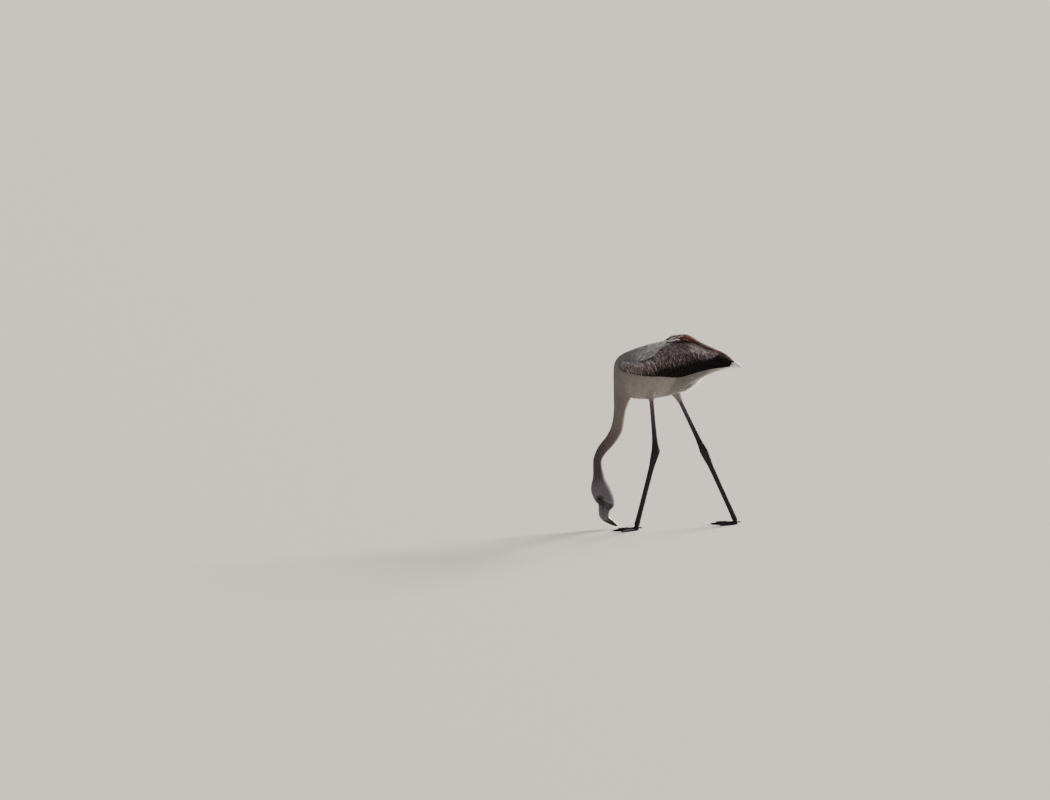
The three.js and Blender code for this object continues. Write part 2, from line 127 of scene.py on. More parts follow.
def in_middle(table, x, z):
    """Points of the bird's middle plane, from the columns of a table that hold their x and z."""
    return np.stack([table[:, x], 0 * table[:, x], table[:, z]], 1)


class Surface:
    """A surface that skin and feathers lie on, as a grid of points: rows along it, and points across each
    row. A closed surface joins the last point of each row to the first. Its normals point outwards."""

    def __init__(self, grid, along, across, closed, inside):
        self.grid, self.along, self.across, self.closed = grid, along, across, closed
        if closed:
            side = (np.roll(grid, -1, 1) - np.roll(grid, 1, 1)) / (2 * FULL / len(across))
        else:
            side = np.gradient(grid, axis=1) / np.gradient(across)[None, :, None]
        fore = np.gradient(grid, axis=0) / np.gradient(along)[:, None, None]
        normal = unit(np.cross(side, fore))
        self.normal = normal * np.sign(np.sum(normal * (grid - inside), axis=-1).mean())
        self.long = np.linalg.norm(fore, axis=-1)  # millimetres for each unit along
        self.wide = np.linalg.norm(side, axis=-1)  # and across

    def read(self, table, p, q):
        """The table's value at p along and q across: its four nearest entries, mixed by how near they are."""
        u = np.interp(p, self.along, np.arange(len(self.along)))
        i = np.minimum(u.astype(int), len(self.along) - 2)
        count = len(self.across)
        v = q / FULL % 1 * count if self.closed else np.interp(q, self.across, np.arange(count))
        j = np.minimum(v.astype(int), count - (1 if self.closed else 2))
        k = (j + 1) % count
        f, g = u - i, v - j
        if table.ndim == 3:
            f, g = f[..., None], g[..., None]
        first = table[i, j] * (1 - f) + table[i + 1, j] * f
        second = table[i, k] * (1 - f) + table[i + 1, k] * f
        return first * (1 - g) + second * g

    def point(self, p, q, out=0.0):
        """The surface's point at p along and q across, moved out along the surface's normal there."""
        return self.read(self.grid, p, q) + unit(self.read(self.normal, p, q)) * np.asarray(out)[..., None]


def mesh_piece(name, points, quads, layers=None, colours=None):
    """A smooth mesh object from an array of points in millimetres and one of four corners for each face. Each
    UV layer holds a pair, and each colour layer a linear colour, for every point."""
    mesh = bpy.data.meshes.new(name)
    mesh.vertices.add(len(points))
    mesh.vertices.foreach_set("co", ((points - ORIGIN) / 1000).astype(np.float32).ravel())
    mesh.loops.add(quads.size)
    mesh.loops.foreach_set("vertex_index", quads.astype(np.int32).ravel())
    mesh.polygons.add(len(quads))
    mesh.polygons.foreach_set("loop_start", np.arange(0, quads.size, 4, dtype=np.int32))
    mesh.polygons.foreach_set("use_smooth", np.full(len(quads), True))
    mesh.update(calc_edges=True)
    for layer, pairs in (layers or {}).items():
        mesh.uv_layers.new(name=layer)
        mesh.uv_layers[layer].uv.foreach_set("vector", pairs[quads.ravel()].astype(np.float32).ravel())
    for layer, values in (colours or {}).items():
        attribute = mesh.attributes.new(layer, "FLOAT_COLOR", "POINT")
        filled = np.concatenate([values, np.ones((len(values), 1))], 1)
        attribute.data.foreach_set("color", filled.astype(np.float32).ravel())
    piece = bpy.data.objects.new(name, mesh)
    bpy.context.scene.collection.objects.link(piece)
    return piece


def weld(piece):
    """Joins the points that share a place, so that seams and poles are closed."""
    shell = bmesh.new()
    shell.from_mesh(piece.data)
    bmesh.ops.remove_doubles(shell, verts=shell.verts, dist=1e-6)
    shell.to_mesh(piece.data)
    shell.free()


def grid_quads(rows, columns, closed, turned=False):
    """The faces of a grid of points, row by row, with the last column joined to the first if it is closed."""
    i = np.arange(rows - 1)[:, None]
    j = np.arange(columns if closed else columns - 1)[None, :]
    a, b = i * columns + j, i * columns + (j + 1) % columns
    quads = np.stack([a, a + columns, b + columns, b], -1).reshape(-1, 4)
    return quads[:, ::-1] if turned else quads


def inside_out(points, quads):
    """Whether the faces of closed shells point inwards: the volume that they sign, summed up, is below 0."""
    a, b, c, d = np.moveaxis((points - points.mean(0))[quads], 1, 0)
    return (np.cross(a, b) * c + np.cross(a, c) * d).sum() < 0


def shell_piece(name, grid, layers=None, colours=None):
    """A mesh object from a grid of closed rows, its faces outwards and its poles closed."""
    points, quads = grid.reshape(-1, 3), grid_quads(*grid.shape[:2], True)
    piece = mesh_piece(name, points, quads[:, ::-1] if inside_out(points, quads) else quads, layers, colours)
    weld(piece)
    return piece


def capped(grid):
    """A grid of closed rows with the middle of its first and of its last row added as poles."""
    first, last = grid[:1].mean(1, keepdims=True), grid[-1:].mean(1, keepdims=True)
    return np.concatenate([np.repeat(first, grid.shape[1], 1), grid, np.repeat(last, grid.shape[1], 1)])


def joined(parts):
    """Several closed grids as one array of points, one of faces, one of places in the unwrap and the material
    number of each face. Each part is a grid, its rectangle in the unwrap and its material number."""
    points, quads, places, slots, count = [], [], [], [], 0
    for grid, (left, low, right, high), slot in parts:
        turned = inside_out(grid.reshape(-1, 3), grid_quads(*grid.shape[:2], True))
        grid = np.concatenate([grid, grid[:, :1]], 1)  # the seam's points twice, so that the unwrap is whole
        rows, columns = grid.shape[:2]
        faces = grid_quads(rows, columns, False, turned)
        unwrap = np.meshgrid(np.linspace(left, right, rows), np.linspace(low, high, columns), indexing="ij")
        points.append(grid.reshape(-1, 3))
        places.append(np.stack(unwrap, -1).reshape(-1, 2))
        quads.append(faces + count)
        slots.append(np.full(len(faces), slot))
        count += rows * columns
    return np.concatenate(points), np.concatenate(quads), np.concatenate(places), np.concatenate(slots)


def linear(text):
    """A colour written as sRGB hex, as linear values."""
    c = np.array([int(text[i:i + 2], 16) for i in (0, 2, 4)]) / 255
    return np.where(c < 0.04045, c / 12.92, ((c + 0.055) / 1.055) ** 2.4)


def bump(points, centre, radius, height):
    """How far a soft round swelling on each side lifts each point: its height times the bell curve of the
    distance from its centre, as seen from the side."""
    near = (points - centre) * [1, 0, 1]
    off_middle = np.clip(np.abs(points[..., 1]) / 8, 0, 1)
    return height * off_middle * np.exp(-np.sum(near ** 2, axis=-1) / radius ** 2)


stations = smooth_line(BODY, RINGS)
upper, lower = in_middle(stations, 0, 1), in_middle(stations, 2, 3)
spine = (upper + lower) / 2
spoke = turns(SPOKES)
from_face = np.concatenate([[0], np.cumsum(np.linalg.norm(np.diff(spine, axis=0), axis=1))])
rings = ovals(spine, upper - spine, SIDEWAYS * stations[:, 4:5], spoke)
relief = bump(rings, [-226, 0, 91], 9, -2.2)  # the lores, hollow between eye and bill
relief += bump(rings, [-247, 0, 111], 7, 0.9)  # the brow
relief += bump(rings, [-211, 0, 101], 15, 1.6)  # the cheek
relief += bump(rings, [-238, 0, 150], 22, 1.0)  # the neck muscles behind the ear
rings = rings + Surface(rings, from_face, spoke, True, spine[:, None]).normal * relief[..., None]
body = Surface(rings, from_face, spoke, True, spine[:, None])


def coat_depth(p):
    """The plumage's depth at p millimetres from the face, between the values of the table."""
    return np.interp(p, *COAT_DEPTH)


# Legs: each a feathered thigh, a bare shank, the ankle, which bends backwards, and the tarsus to the toes.
LEFT, RIGHT = -1, 1
SIDES = {LEFT: "left", RIGHT: "right"}
STANCE, TARSUS, TOE_JOINT = 45, 261, 14  # distance from the middle line, length, height of the toes' joint
KNEE = {LEFT: (-73, 492), RIGHT: (6, 492)}
FEATHER_END = {LEFT: (-70, 434), RIGHT: (43, 417)}
ANKLE_X = {LEFT: -55.5, RIGHT: 121.5}
LEAN = {LEFT: np.radians(-14.3), RIGHT: np.radians(24.4)}
THIGH = [30, 27, 19, 11.5, 8]
# share of the shank or, over 1, of the tarsus; radius fore and aft; radius across
LEG = np.array([
    [-0.12, 7.7, 6.6], [0, 7.7, 6.6], [0.35, 7.7, 6.5], [0.7, 8.8, 7], [0.86, 11, 8.6], [0.95, 13.4, 10.4],
    [1, 14.4, 11.2], [1.05, 13.8, 10.8], [1.12, 12, 9], [1.24, 9.3, 7.2], [1.55, 8.5, 6.4], [1.85, 8.6, 6.6],
    [1.95, 9.3, 7.8], [2, 9.4, 8.8],
])
GROUND = 0.05  # no point of a foot lies lower


def leg_joints(side):
    """The knee, the feathering's end, the ankle and the toe joint of a leg."""
    y = side * STANCE
    ankle = np.array([ANKLE_X[side], y, TOE_JOINT + TARSUS * np.cos(LEAN[side])])
    toes = np.array([ANKLE_X[side] + TARSUS * np.sin(LEAN[side]), y, TOE_JOINT])
    knee, end = (np.array([x, y, z]) for x, z in (KNEE[side], FEATHER_END[side]))
    return knee, end, ankle, toes


def drawn_in(radius, share):
    """The thigh's radius, less up to 0.62 of it over its upper half, where the thigh goes into the body."""
    return radius * (1 - 0.62 * np.clip(1 - share / 0.5, 0, 1) ** 1.2)


def thigh_rings(side, rows, around, inset):
    """The thigh's surface: circles, a little flat from side to side, from knee to feathering's end."""
    knee, end, _, _ = leg_joints(side)
    share = np.linspace(0, 1, rows)[:, None]
    radius = drawn_in(smooth_line(np.array(THIGH)[:, None], rows) - inset, share)
    fore = np.cross(SIDEWAYS, unit(end - knee))
    return ovals(knee + (end - knee) * share, fore * radius, SIDEWAYS * 0.74 * radius, turns(around))


def tube(path, fore, deep, across, wide, around):
    """Ovals along a path, deep along the fore direction and wide along the across one, with closed ends."""
    return capped(ovals(path, fore * deep[:, None], across * wide[:, None], turns(around)))


def bare_leg(side):
    """The bare leg as one tube from inside the feathering to the toe joint, drawn in at its foot."""
    _, end, ankle, toes = leg_joints(side)
    share = LEG[:, :1]
    path = np.where(share <= 1, end + (ankle - end) * share, ankle + (toes - ankle) * (share - 1))
    line = smooth_line(np.concatenate([path, LEG[:, 1:]], 1), 150)
    line[:, 3:] *= 1 - 0.2 * np.clip(np.linspace(-19, 1, 150), 0, 1)[:, None] ** 1.5
    heading = unit(np.gradient(line[:, :3], axis=0))
    return tube(line[:, :3], np.cross(SIDEWAYS, heading), line[:, 3], SIDEWAYS, line[:, 4], 32)


# Feet: three toes joined by webs, a small raised hind toe, and a claw on each.
TOES = {"inner": (60, -35), "middle": (79, 0), "outer": (71, 33)}  # length, and angle outwards in degrees
TOE_OUT = 8
TOE_RADII = np.array([6.4, 5.4, 5, 4.4, 3.2])
HIND_TOE, HIND_HEIGHT, HIND_ANGLE = 15, 13, 180 - 2 * TOE_OUT
BALL = 9.4


def toe_heading(side, degrees):
    """The level direction of a toe: straight ahead is -X, and its angle turns away from the middle line."""
    angle = np.radians(degrees + TOE_OUT)
    return np.stack([-np.cos(angle), side * np.sin(angle), 0 * angle], -1)


def toe(side, length, degrees):
    """A toe: a tube that is flat below, with a slight swelling at each of its joints."""
    heading = toe_heading(side, degrees)
    path = leg_joints(side)[-1] + heading * length * np.linspace(0, 1, 5)[:, None]
    path[:, 2] = TOE_RADII - 1 + [3, 0, 0, 0, 0]
    line = smooth_line(np.concatenate([path, TOE_RADII[:, None]], 1), 48)
    radius = line[:, 3] * (1 + 0.07 * np.cos(FULL * np.linspace(0, 1, 48) * 3.5))
    grid = tube(line[:, :3], UP, radius, np.cross(UP, heading), radius * 0.95, 20)
    grid[..., 2] = np.maximum(grid[..., 2], GROUND)
    return grid


def hind_toe(side):
    """The hind toe: a short tube at the back of the foot that points back and down."""
    heading = toe_heading(side, HIND_ANGLE)
    share = np.linspace(0, 1, 14)
    path = leg_joints(side)[-1] * [1, 1, 0] + UP * HIND_HEIGHT + heading * HIND_TOE * share[:, None]
    path[:, 2] -= 5 * share
    radius = 4 - 1.6 * share
    return tube(path, UP, radius, np.cross(UP, heading), radius, 16)


def ball_of_foot(side):
    """A sphere round the toe joint, flattened below."""
    rise = np.linspace(-0.98, 0.98, 12)
    path = leg_joints(side)[-1] * [1, 1, 0] + UP * 8.5 + UP * BALL * rise[:, None]
    radius = BALL * np.sqrt(1 - rise ** 2)
    grid = tube(path, np.array([1.0, 0.0, 0.0]), radius, SIDEWAYS, radius, 24)
    grid[..., 2] = np.maximum(grid[..., 2], GROUND)
    return grid


WEB_HEIGHT, WEB_REACH = 3.6, 0.86  # over the ground, and as a share of the toes' length


def web(side, first, second):
    """The web between two toes, as a closed sheet: its rim runs from toe tip to toe tip, hollowed by a bow,
    and every row of the sheet is a share of the way from the joint to the rim. It sags a little."""
    across = np.linspace(0, 1, 21)
    (length_a, angle_a), (length_b, angle_b) = TOES[first], TOES[second]
    bow = 1 - 0.3 * np.sin(np.pi * across) ** 0.8
    reach = (length_a + (length_b - length_a) * across) * WEB_REACH * bow
    rays = toe_heading(side, angle_a + (angle_b - angle_a) * across) * reach[:, None]
    share = np.linspace(0.05, 1, 16)[:, None]
    sheet = leg_joints(side)[-1] * [1, 1, 0] + rays[None] * share[..., None]
    sag = 1.3 * np.sin(np.pi * across) * share + 0.25 * np.cos(across * 30) * share
    thick = 0.75 * np.clip(4 * (1 - share), 0.3, 1)
    top, under = sheet.copy(), sheet.copy()
    top[..., 2] = WEB_HEIGHT - sag + thick
    under[..., 2] = WEB_HEIGHT - sag - thick
    return capped(np.concatenate([top, under[:, ::-1]], 1))


# Where each starts in the unwrap, from left to right: body, thighs, bare legs, feet in two columns, wings and
# tertials, with the tail above the last two.
BODY_SHARE, SHANK_AT, FOOT_AT, BALL_AT, WING_AT, PAD_AT, TAIL_LOW = 0.6, 0.68, 0.74, 0.8, 0.86, 0.96, 0.9
# how deep the skin lies under the plumage of each
THIGH_INSET, WING_INSET, PAD_INSET, TAIL_INSET = 3, 2.6, 2.2, 2.5
skin_rows = np.linspace(0, from_face[-1], 340)
p, q = np.meshgrid(skin_rows, spoke, indexing="ij")
parts = [(capped(body.point(p, q, -coat_depth(p) - 0.4)), (0, 0, BODY_SHARE, 1), 0)]
for side, low in ((LEFT, 0), (RIGHT, 0.5)):
    high = low + 0.5
    parts.append((capped(thigh_rings(side, 24, 32, THIGH_INSET)), (BODY_SHARE, low, SHANK_AT, high), 0))
    parts.append((bare_leg(side), (SHANK_AT, low, FOOT_AT, high), 1))
    for number, (length, degrees) in enumerate(TOES.values()):
        toe_low = low + 0.1 * number
        parts.append((toe(side, length, degrees), (FOOT_AT, toe_low, WING_AT, toe_low + 0.1), 1))
    parts.append((hind_toe(side), (FOOT_AT, low + 0.3, BALL_AT, low + 0.35), 1))
    parts.append((ball_of_foot(side), (BALL_AT, low + 0.3, WING_AT, low + 0.35), 1))
    parts.append((web(side, "inner", "middle"), (FOOT_AT, low + 0.35, BALL_AT, high), 1))
    parts.append((web(side, "middle", "outer"), (BALL_AT, low + 0.35, WING_AT, high), 1))

# Wings, folded along the flanks: a shell from a lower to an upper edge that bulges away from the body.
# x, then y and z of the upper edge, y and z of the lower edge, bulge, thickness
WING = np.array([
    [-181, 36, 557, 38, 543, 2, 6], [-164, 43, 571, 50, 534, 7, 9], [-130, 50, 581, 64, 526, 14, 10],
    [-90, 53, 595, 72, 520, 18, 10], [-45, 46, 614, 77, 520, 24, 10], [0, 34, 628, 75, 516, 28, 10],
    [36, 26, 633, 67, 518, 26, 10], [75, 21, 629, 54, 527, 20, 10], [115, 16, 612, 40, 535, 14, 9],
    [155, 12, 597, 28, 540, 9, 8], [193, 9, 578, 18, 541, 5, 7], [214, 8, 563, 12, 546, 3, 5],
    [219, 8, 557, 9, 551, 1, 3],
])
# The long inner wing feathers that lie along the back: x, top z, depth, y of the middle, half width.
TERTIALS = np.array([
    [-16, 633, 8, 22, 8], [8, 643, 14, 21.5, 16], [36, 646.5, 17, 20, 18], [66, 644, 17, 18.5, 16.5],
    [98, 625, 14, 15.5, 13.5], [140, 605.5, 12, 12, 10], [178, 588, 10, 8.5, 6.5], [204, 571.5, 5.5, 6, 3],
    [211, 567, 1.6, 6, 0.8],
])
# The tail: x and z of its upper face, x and z of its lower face, half width.
TAIL = np.array([
    [150, 560, 150, 532, 13], [185, 566, 185, 534, 17], [212, 565, 212, 535.5, 19], [228, 555, 229, 536, 16],
    [240, 544, 240, 538, 9], [243.5, 541, 243.5, 539.5, 4],
])
THINNEST = 0.3  # what an inset leaves of a half width


def wing_rings(side, angle, inset, rows):
    """The wing's surface: round each cross-section, at an angle of 90 degrees on the outer face, the place
    between its edges goes by the cosine and the rise over them by the bulge times the squared sine, and the
    shell's thickness, less the inset on both faces, is shared out by the sine."""
    s = smooth_line(WING, rows)
    top = np.stack([s[:, 0], side * s[:, 1], s[:, 2]], 1)
    foot = np.stack([s[:, 0], side * s[:, 3], s[:, 4]], 1)
    half = (top - foot) / 2
    out = unit(np.stack([0 * s[:, 0], side * half[:, 2], -side * half[:, 1]], 1))
    follow = np.where(np.sin(angle) < -0.001, 0.4, 1)
    thick = s[:, 6:7]
    rise = follow * s[:, 5:6] * np.sin(angle) ** 2 - 0.25 * thick
    rise = rise + np.sin(angle) / 2 * np.maximum(thick - 2 * inset, THINNEST)
    kept = half * (1 - inset / np.linalg.norm(half, axis=1))[:, None]
    return ovals((top + foot) / 2, kept, 0 * kept, angle) + out[:, None] * rise[..., None]


def tertial_middle(side, rows):
    """The middle line of the pad of tertials, and the rows of its table."""
    s = smooth_line(TERTIALS, rows)
    return np.stack([s[:, 0], side * s[:, 3], s[:, 1] - s[:, 2] / 2], 1), s


def tertial_rings(side, angle, inset, rows):
    """The pad of tertials: ovals round its middle line, its half height and half width less the inset."""
    middle, s = tertial_middle(side, rows)
    half_height, half_width = (np.maximum(half - inset, THINNEST) for half in (s[:, 2:3] / 2, s[:, 4:5]))
    return ovals(middle, UP * half_height, side * SIDEWAYS * half_width, angle)


def tail_rings(angle, inset, rows):
    """The tail: an oval between its upper and lower lines, its half height and half width less the inset."""
    s = smooth_line(TAIL, rows)
    top, foot = in_middle(s, 0, 1), in_middle(s, 2, 3)
    half = (top - foot) / 2
    keep = np.maximum(1 - inset / np.linalg.norm(half, axis=1), 0.1)[:, None]
    return ovals((top + foot) / 2, half * keep, SIDEWAYS * np.maximum(s[:, 4:5] - inset, THINNEST), angle)


FOLDED_LOW, FOLDED_SHARE = {LEFT: 0.0, RIGHT: 0.45}, 0.45  # where the unwrap of each folded wing starts
for side, low in FOLDED_LOW.items():
    high = low + FOLDED_SHARE
    parts.append((capped(wing_rings(side, turns(32), WING_INSET, 60)), (WING_AT, low, PAD_AT, high), 0))
    parts.append((capped(tertial_rings(side, turns(32), PAD_INSET, 36)), (PAD_AT, low, 1, high), 0))
parts.append((capped(tail_rings(turns(32), TAIL_INSET, 24)), (WING_AT, TAIL_LOW, 1, 1), 0))


def blend(first, second, share):
    """The first value less its share, plus the share of the second."""
    return first * (1 - share) + second * share


def mixed(value, places, colours):
    """Colours in hex at places along a line, mixed in linear light for each value."""
    rows = np.array([linear(c) for c in colours])
    return np.stack([np.interp(value, places, rows[:, k]) for k in range(3)], -1)


def smoothly(value, low, high):
    """0 up to low, 1 from high, and a smooth rise by 3t^2 - 2t^3 between them."""
    t = np.clip((value - low) / (high - low), 0, 1)
    return t * t * (3 - 2 * t)


def from_eye(points, aside=(0, 0)):
    """Distance from the eye as seen from the side, or from a point beside it."""
    return np.linalg.norm(points[..., [0, 2]] - EYE[[0, 2]] - aside, axis=-1)


def bare_face(points):
    """How far each point lies on the bare face: below a line from the eye to the corner of the jaw, and
    behind the edge of the forehead's feathers."""
    x, z = points[..., 0], points[..., 2]
    below = smoothly(106 - (x + 243) * 0.486 - z, -1.0, 1.5)
    behind = smoothly(x - np.interp(z, [60, 86, 102, 110], [-250, -244.8, -248.5, -248.5]), -0.8, 0.8)
    return below * behind


def body_tint(p, q, points):
    """The body's colour: one row of colours along the back and one along the belly, by the distance from the
    face, mixed by the cosine round the ring."""
    along = [0, 60, 95, 125, 190, 260, 310, 370, 430, 500, 560, 640, 740, 836]
    back, belly = (mixed(p, along, row.split()) for row in (
        "746D75 716A72 6C646A 524148 504045 6C5E5B 7B6F69 7C7069 7E756F 837B77 908987 9C9694 9A9491 D6D3CE",
        "79727A 767077 70676E 574549 544448 70625E 80746D 80756F 857D76 8C857E 918A84 96908A 96908A DDDCD8"))
    tint = blend(belly, back, smoothly(np.cos(q), -0.55, 0.5)[..., None])
    # painted shade: on the left side only, the flank behind the thigh and below the wing is darkened by up to
    # half, for the shadow that the near wing and thigh cast there
    x, y, z = np.moveaxis(points, -1, 0)
    behind = smoothly(x + 48 - 0.52 * (z - 447), -10, 14) * smoothly(-x, -175, -120)
    tint = tint * (1 - 0.5 * (behind * smoothly(560 - z, 0, 45)) * smoothly(-y, 12, 45))[..., None]
    # the belly's middle is whitish towards the vent; the whitening there is partly painted light, which lifts
    # the shade between the roots of the vent feathers
    whitish = 0.85 * smoothly(p, 635, 665) * smoothly(-np.cos(q), 0.75, 0.95)
    tint = blend(tint, linear("DEDAD3"), whitish[..., None])
    # a dusky ring of short feathers round the eye and a faint darker crown
    dusk = 0.72 * (1 - smoothly(from_eye(points), 7, 17)) + 0.12 * smoothly(np.cos(q), 0.6, 1)
    return tint * (1 - dusk * (p < 110))[..., None]


points, quads, places, slots = joined(parts)
body_p = np.repeat(np.concatenate([skin_rows[:1], skin_rows, skin_rows[-1:]]), SPOKES + 1)
body_q = np.tile(np.linspace(0, FULL, SPOKES + 1), len(skin_rows) + 2)
on_body = np.arange(len(points)) < len(body_p)
tints = np.tile(linear("1A1416"), (len(points), 1))
tints[points[:, 0] > 221] = linear("D9D8D4")
tints[points[:, 0] < -120] = linear("5C504E")
coated = points[on_body]
face = (bare_face(coated) * (body_p < 110))[:, None]
bare = blend(linear("413A43"), linear("161116"), 1 - smoothly(from_eye(coated, [4, -8]), 7, 21)[:, None])
tints[on_body] = body_tint(body_p, body_q, coated) * 0.85 * (1 - face) + bare * face
tints[~on_body & (np.abs(points[:, 1]) < 80) & (points[:, 2] > 400) & (points[:, 2] < 495)] = linear("8E8883")
skin = mesh_piece("skin", points, quads, {"OFBake": places}, {"tint": tints})
skin.data.polygons.foreach_set("material_index", slots.astype(np.int32))
weld(skin)


def feed(node, inputs):
    """Fills a node's inputs, given by name or, in a list, in the order of those it uses. A hex colour or a
    value is set; an output is linked; another node stands for the first output that it uses."""
    in_use = [socket for socket in node.inputs if socket.enabled]
    named = inputs.items() if isinstance(inputs, dict) else zip(in_use, inputs)
    for key, value in named:
        socket = node.inputs[key] if isinstance(key, str) else key
        if isinstance(value, bpy.types.Node):
            value = next(output for output in value.outputs if output.enabled)
        if isinstance(value, bpy.types.NodeSocket):
            node.id_data.links.new(value, socket)
        else:
            socket.default_value = (*linear(value), 1) if isinstance(value, str) else value


def new_material(name):
    """A node material, its Principled shader, and the function that adds a node with inputs and settings."""
    material = bpy.data.materials.new(name)
    material.use_nodes = True
    nodes = material.node_tree.nodes

    def add(kind, inputs=(), **settings):
        node = nodes.new("ShaderNode" + kind)
        for setting, value in settings.items():
            setattr(node, setting, value)
        feed(node, inputs)
        return node

    return material, nodes["Principled BSDF"], add


def set_bands(ramp, bands):
    """Gives a colour ramp its hex colours at their places, of which the first is 0 and the last 1."""
    elements = ramp.color_ramp.elements
    for place, text in bands.items():
        band = elements.new(place) if 0 < place < 1 else elements[0 if place == 0 else -1]
        band.color = (*linear(text), 1)


TINTED = {"data_type": "RGBA", "blend_type": "MULTIPLY"}

# Bare bird skin, live and matt: fine creases about 1 mm apart over wider folds.
feathered_skin, shader, add = new_material("bare_bird_skin_creased")
place = add("TexCoord").outputs["Object"]
crease = add("TexVoronoi", [place, 850.0], feature="DISTANCE_TO_EDGE")
fold = add("TexNoise", {"Vector": place, "Scale": 260.0, "Detail": 4.0, "Distortion": 1.2})
dark = add("MapRange", [crease, 0.0, 0.12, 0.72, 1.05])
patchy = add("MapRange", [fold, 0.35, 0.65, 0.8, 1.15])
both = add("Math", [dark, patchy], operation="MULTIPLY")
low_fold = add("Bump", {"Height": fold, "Strength": 0.35, "Distance": 0.0008})
feed(shader, {
    "Base Color": add("Mix", [1.0, add("Attribute", attribute_name="tint"), both], **TINTED),
    "Roughness": add("MapRange", [fold, 0.0, 1.0, 0.5, 0.72]),
    "Normal": add("Bump", {"Height": crease, "Strength": 0.5, "Distance": 0.0003, "Normal": low_fold})})

# Leg skin: horny scales like dry leather, 2.5 mm across, purplish grey, darker at the ankle and the foot.
leg_skin, shader, add = new_material("scaly_leg_skin")
place = add("TexCoord").outputs["Object"]
scales = {"Vector": add("Mapping", {"Vector": place, "Scale": (1.0, 1.0, 0.62)}), "Scale": 400.0,
          "Randomness": 0.75}
scale = add("TexVoronoi", scales, feature="DISTANCE_TO_EDGE")
rise = add("MapRange", [add("SeparateXYZ", [place]).outputs["Z"], 0.0, 0.44])
blotch = add("Math", [add("TexNoise", [place, 60.0, 3.0]), 0.16, -0.08], operation="MULTIPLY_ADD")
up_leg = add("ValToRGB", [add("Math", [rise, blotch], operation="ADD")])
set_bands(up_leg, {0.0: "1E161E", 0.3: "271D27", 0.55: "211820", 0.64: "150E15", 0.78: "33273A",
                   0.93: "534552", 1.0: "6E616C"})
# darker along the edges between the scales
darker_between_scales = add("MapRange", [scale, 0.0, 0.1, 0.55, 1.0])
lot = add("SeparateColor", [add("TexVoronoi", scales).outputs["Color"]])
vary = add("MapRange", [lot, 0.0, 1.0, 0.85, 1.15])
both = add("Math", [darker_between_scales, vary], operation="MULTIPLY")
flat = add("MapRange", [scale, 0.0, 0.22])
feed(shader, {
    "Base Color": add("Mix", [1.0, up_leg, both], **TINTED), "Roughness": 0.58, "Specular IOR Level": 0.3,
    "Normal": add("Bump", {"Height": flat, "Strength": 0.8, "Distance": 0.0004})})

skin.data.materials.append(feathered_skin)
skin.data.materials.append(leg_skin)
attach(skin, "root")
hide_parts("trunk", "tail", "neck_base", "neck_middle", "neck_upper", "head",
            "wing_left", "wing_right", "wingtip_left", "wingtip_right", "tertials_left", "tertials_right",
            "thigh_left", "thigh_right", "shank_left", "shank_right", "tarsus_left", "tarsus_right",
            "foot_left", "foot_right")

# --------------------------------------------------------------------------------------------------
# The eyes: a wet ball that bulges at its clear front, with a dark brown iris and a black pupil, sunk deep in
# the head, and round each the two lids as one thick ring of soft skin that lies on it and joins the face.

EYE_BALL = 7.4  # radius
LID_OPENING, LID_CORNERS = 43, 5  # degrees from the way the eye looks, and more at its two corners
# a lid's section: distance from the opening's edge along the ball, and height over the ball
LID_SECTION = [[0, -0.5], [0, 0.25], [0.5, 0.7], [1.3, 0.85], [2.1, 0.6], [2.9, 0.65], [3.9, 0.3], [5, -0.9],
               [4, -1.6], [1.5, -1.3], [0, -0.5]]

# A cornea is clear and wet over the iris, whose fibres run out from the pupil.
eye_ball, shader, add = new_material("eye_of_a_young_bird")
ring_place = add("UVMap", uv_map="iris")
fibres = add("Math", [add("TexNoise", [ring_place, 26.0, 3.0]), 0.05, -0.025], operation="MULTIPLY_ADD")
out_from_pupil = add("SeparateXYZ", [ring_place]).outputs["Y"]
iris = add("ValToRGB", [add("Math", [out_from_pupil, fibres], operation="ADD")])
set_bands(iris, {0.0: "040303", 0.21: "050404", 0.24: "33231A", 0.36: "261A13", 0.47: "0F0A09",
                 1.0: "0A0707"})
feed(shader, {"Base Color": iris, "Roughness": 0.25, "IOR": 1.376, "Specular IOR Level": 0.15,
              "Coat Weight": 0.5, "Coat Roughness": 0.03, "Coat IOR": 1.376})

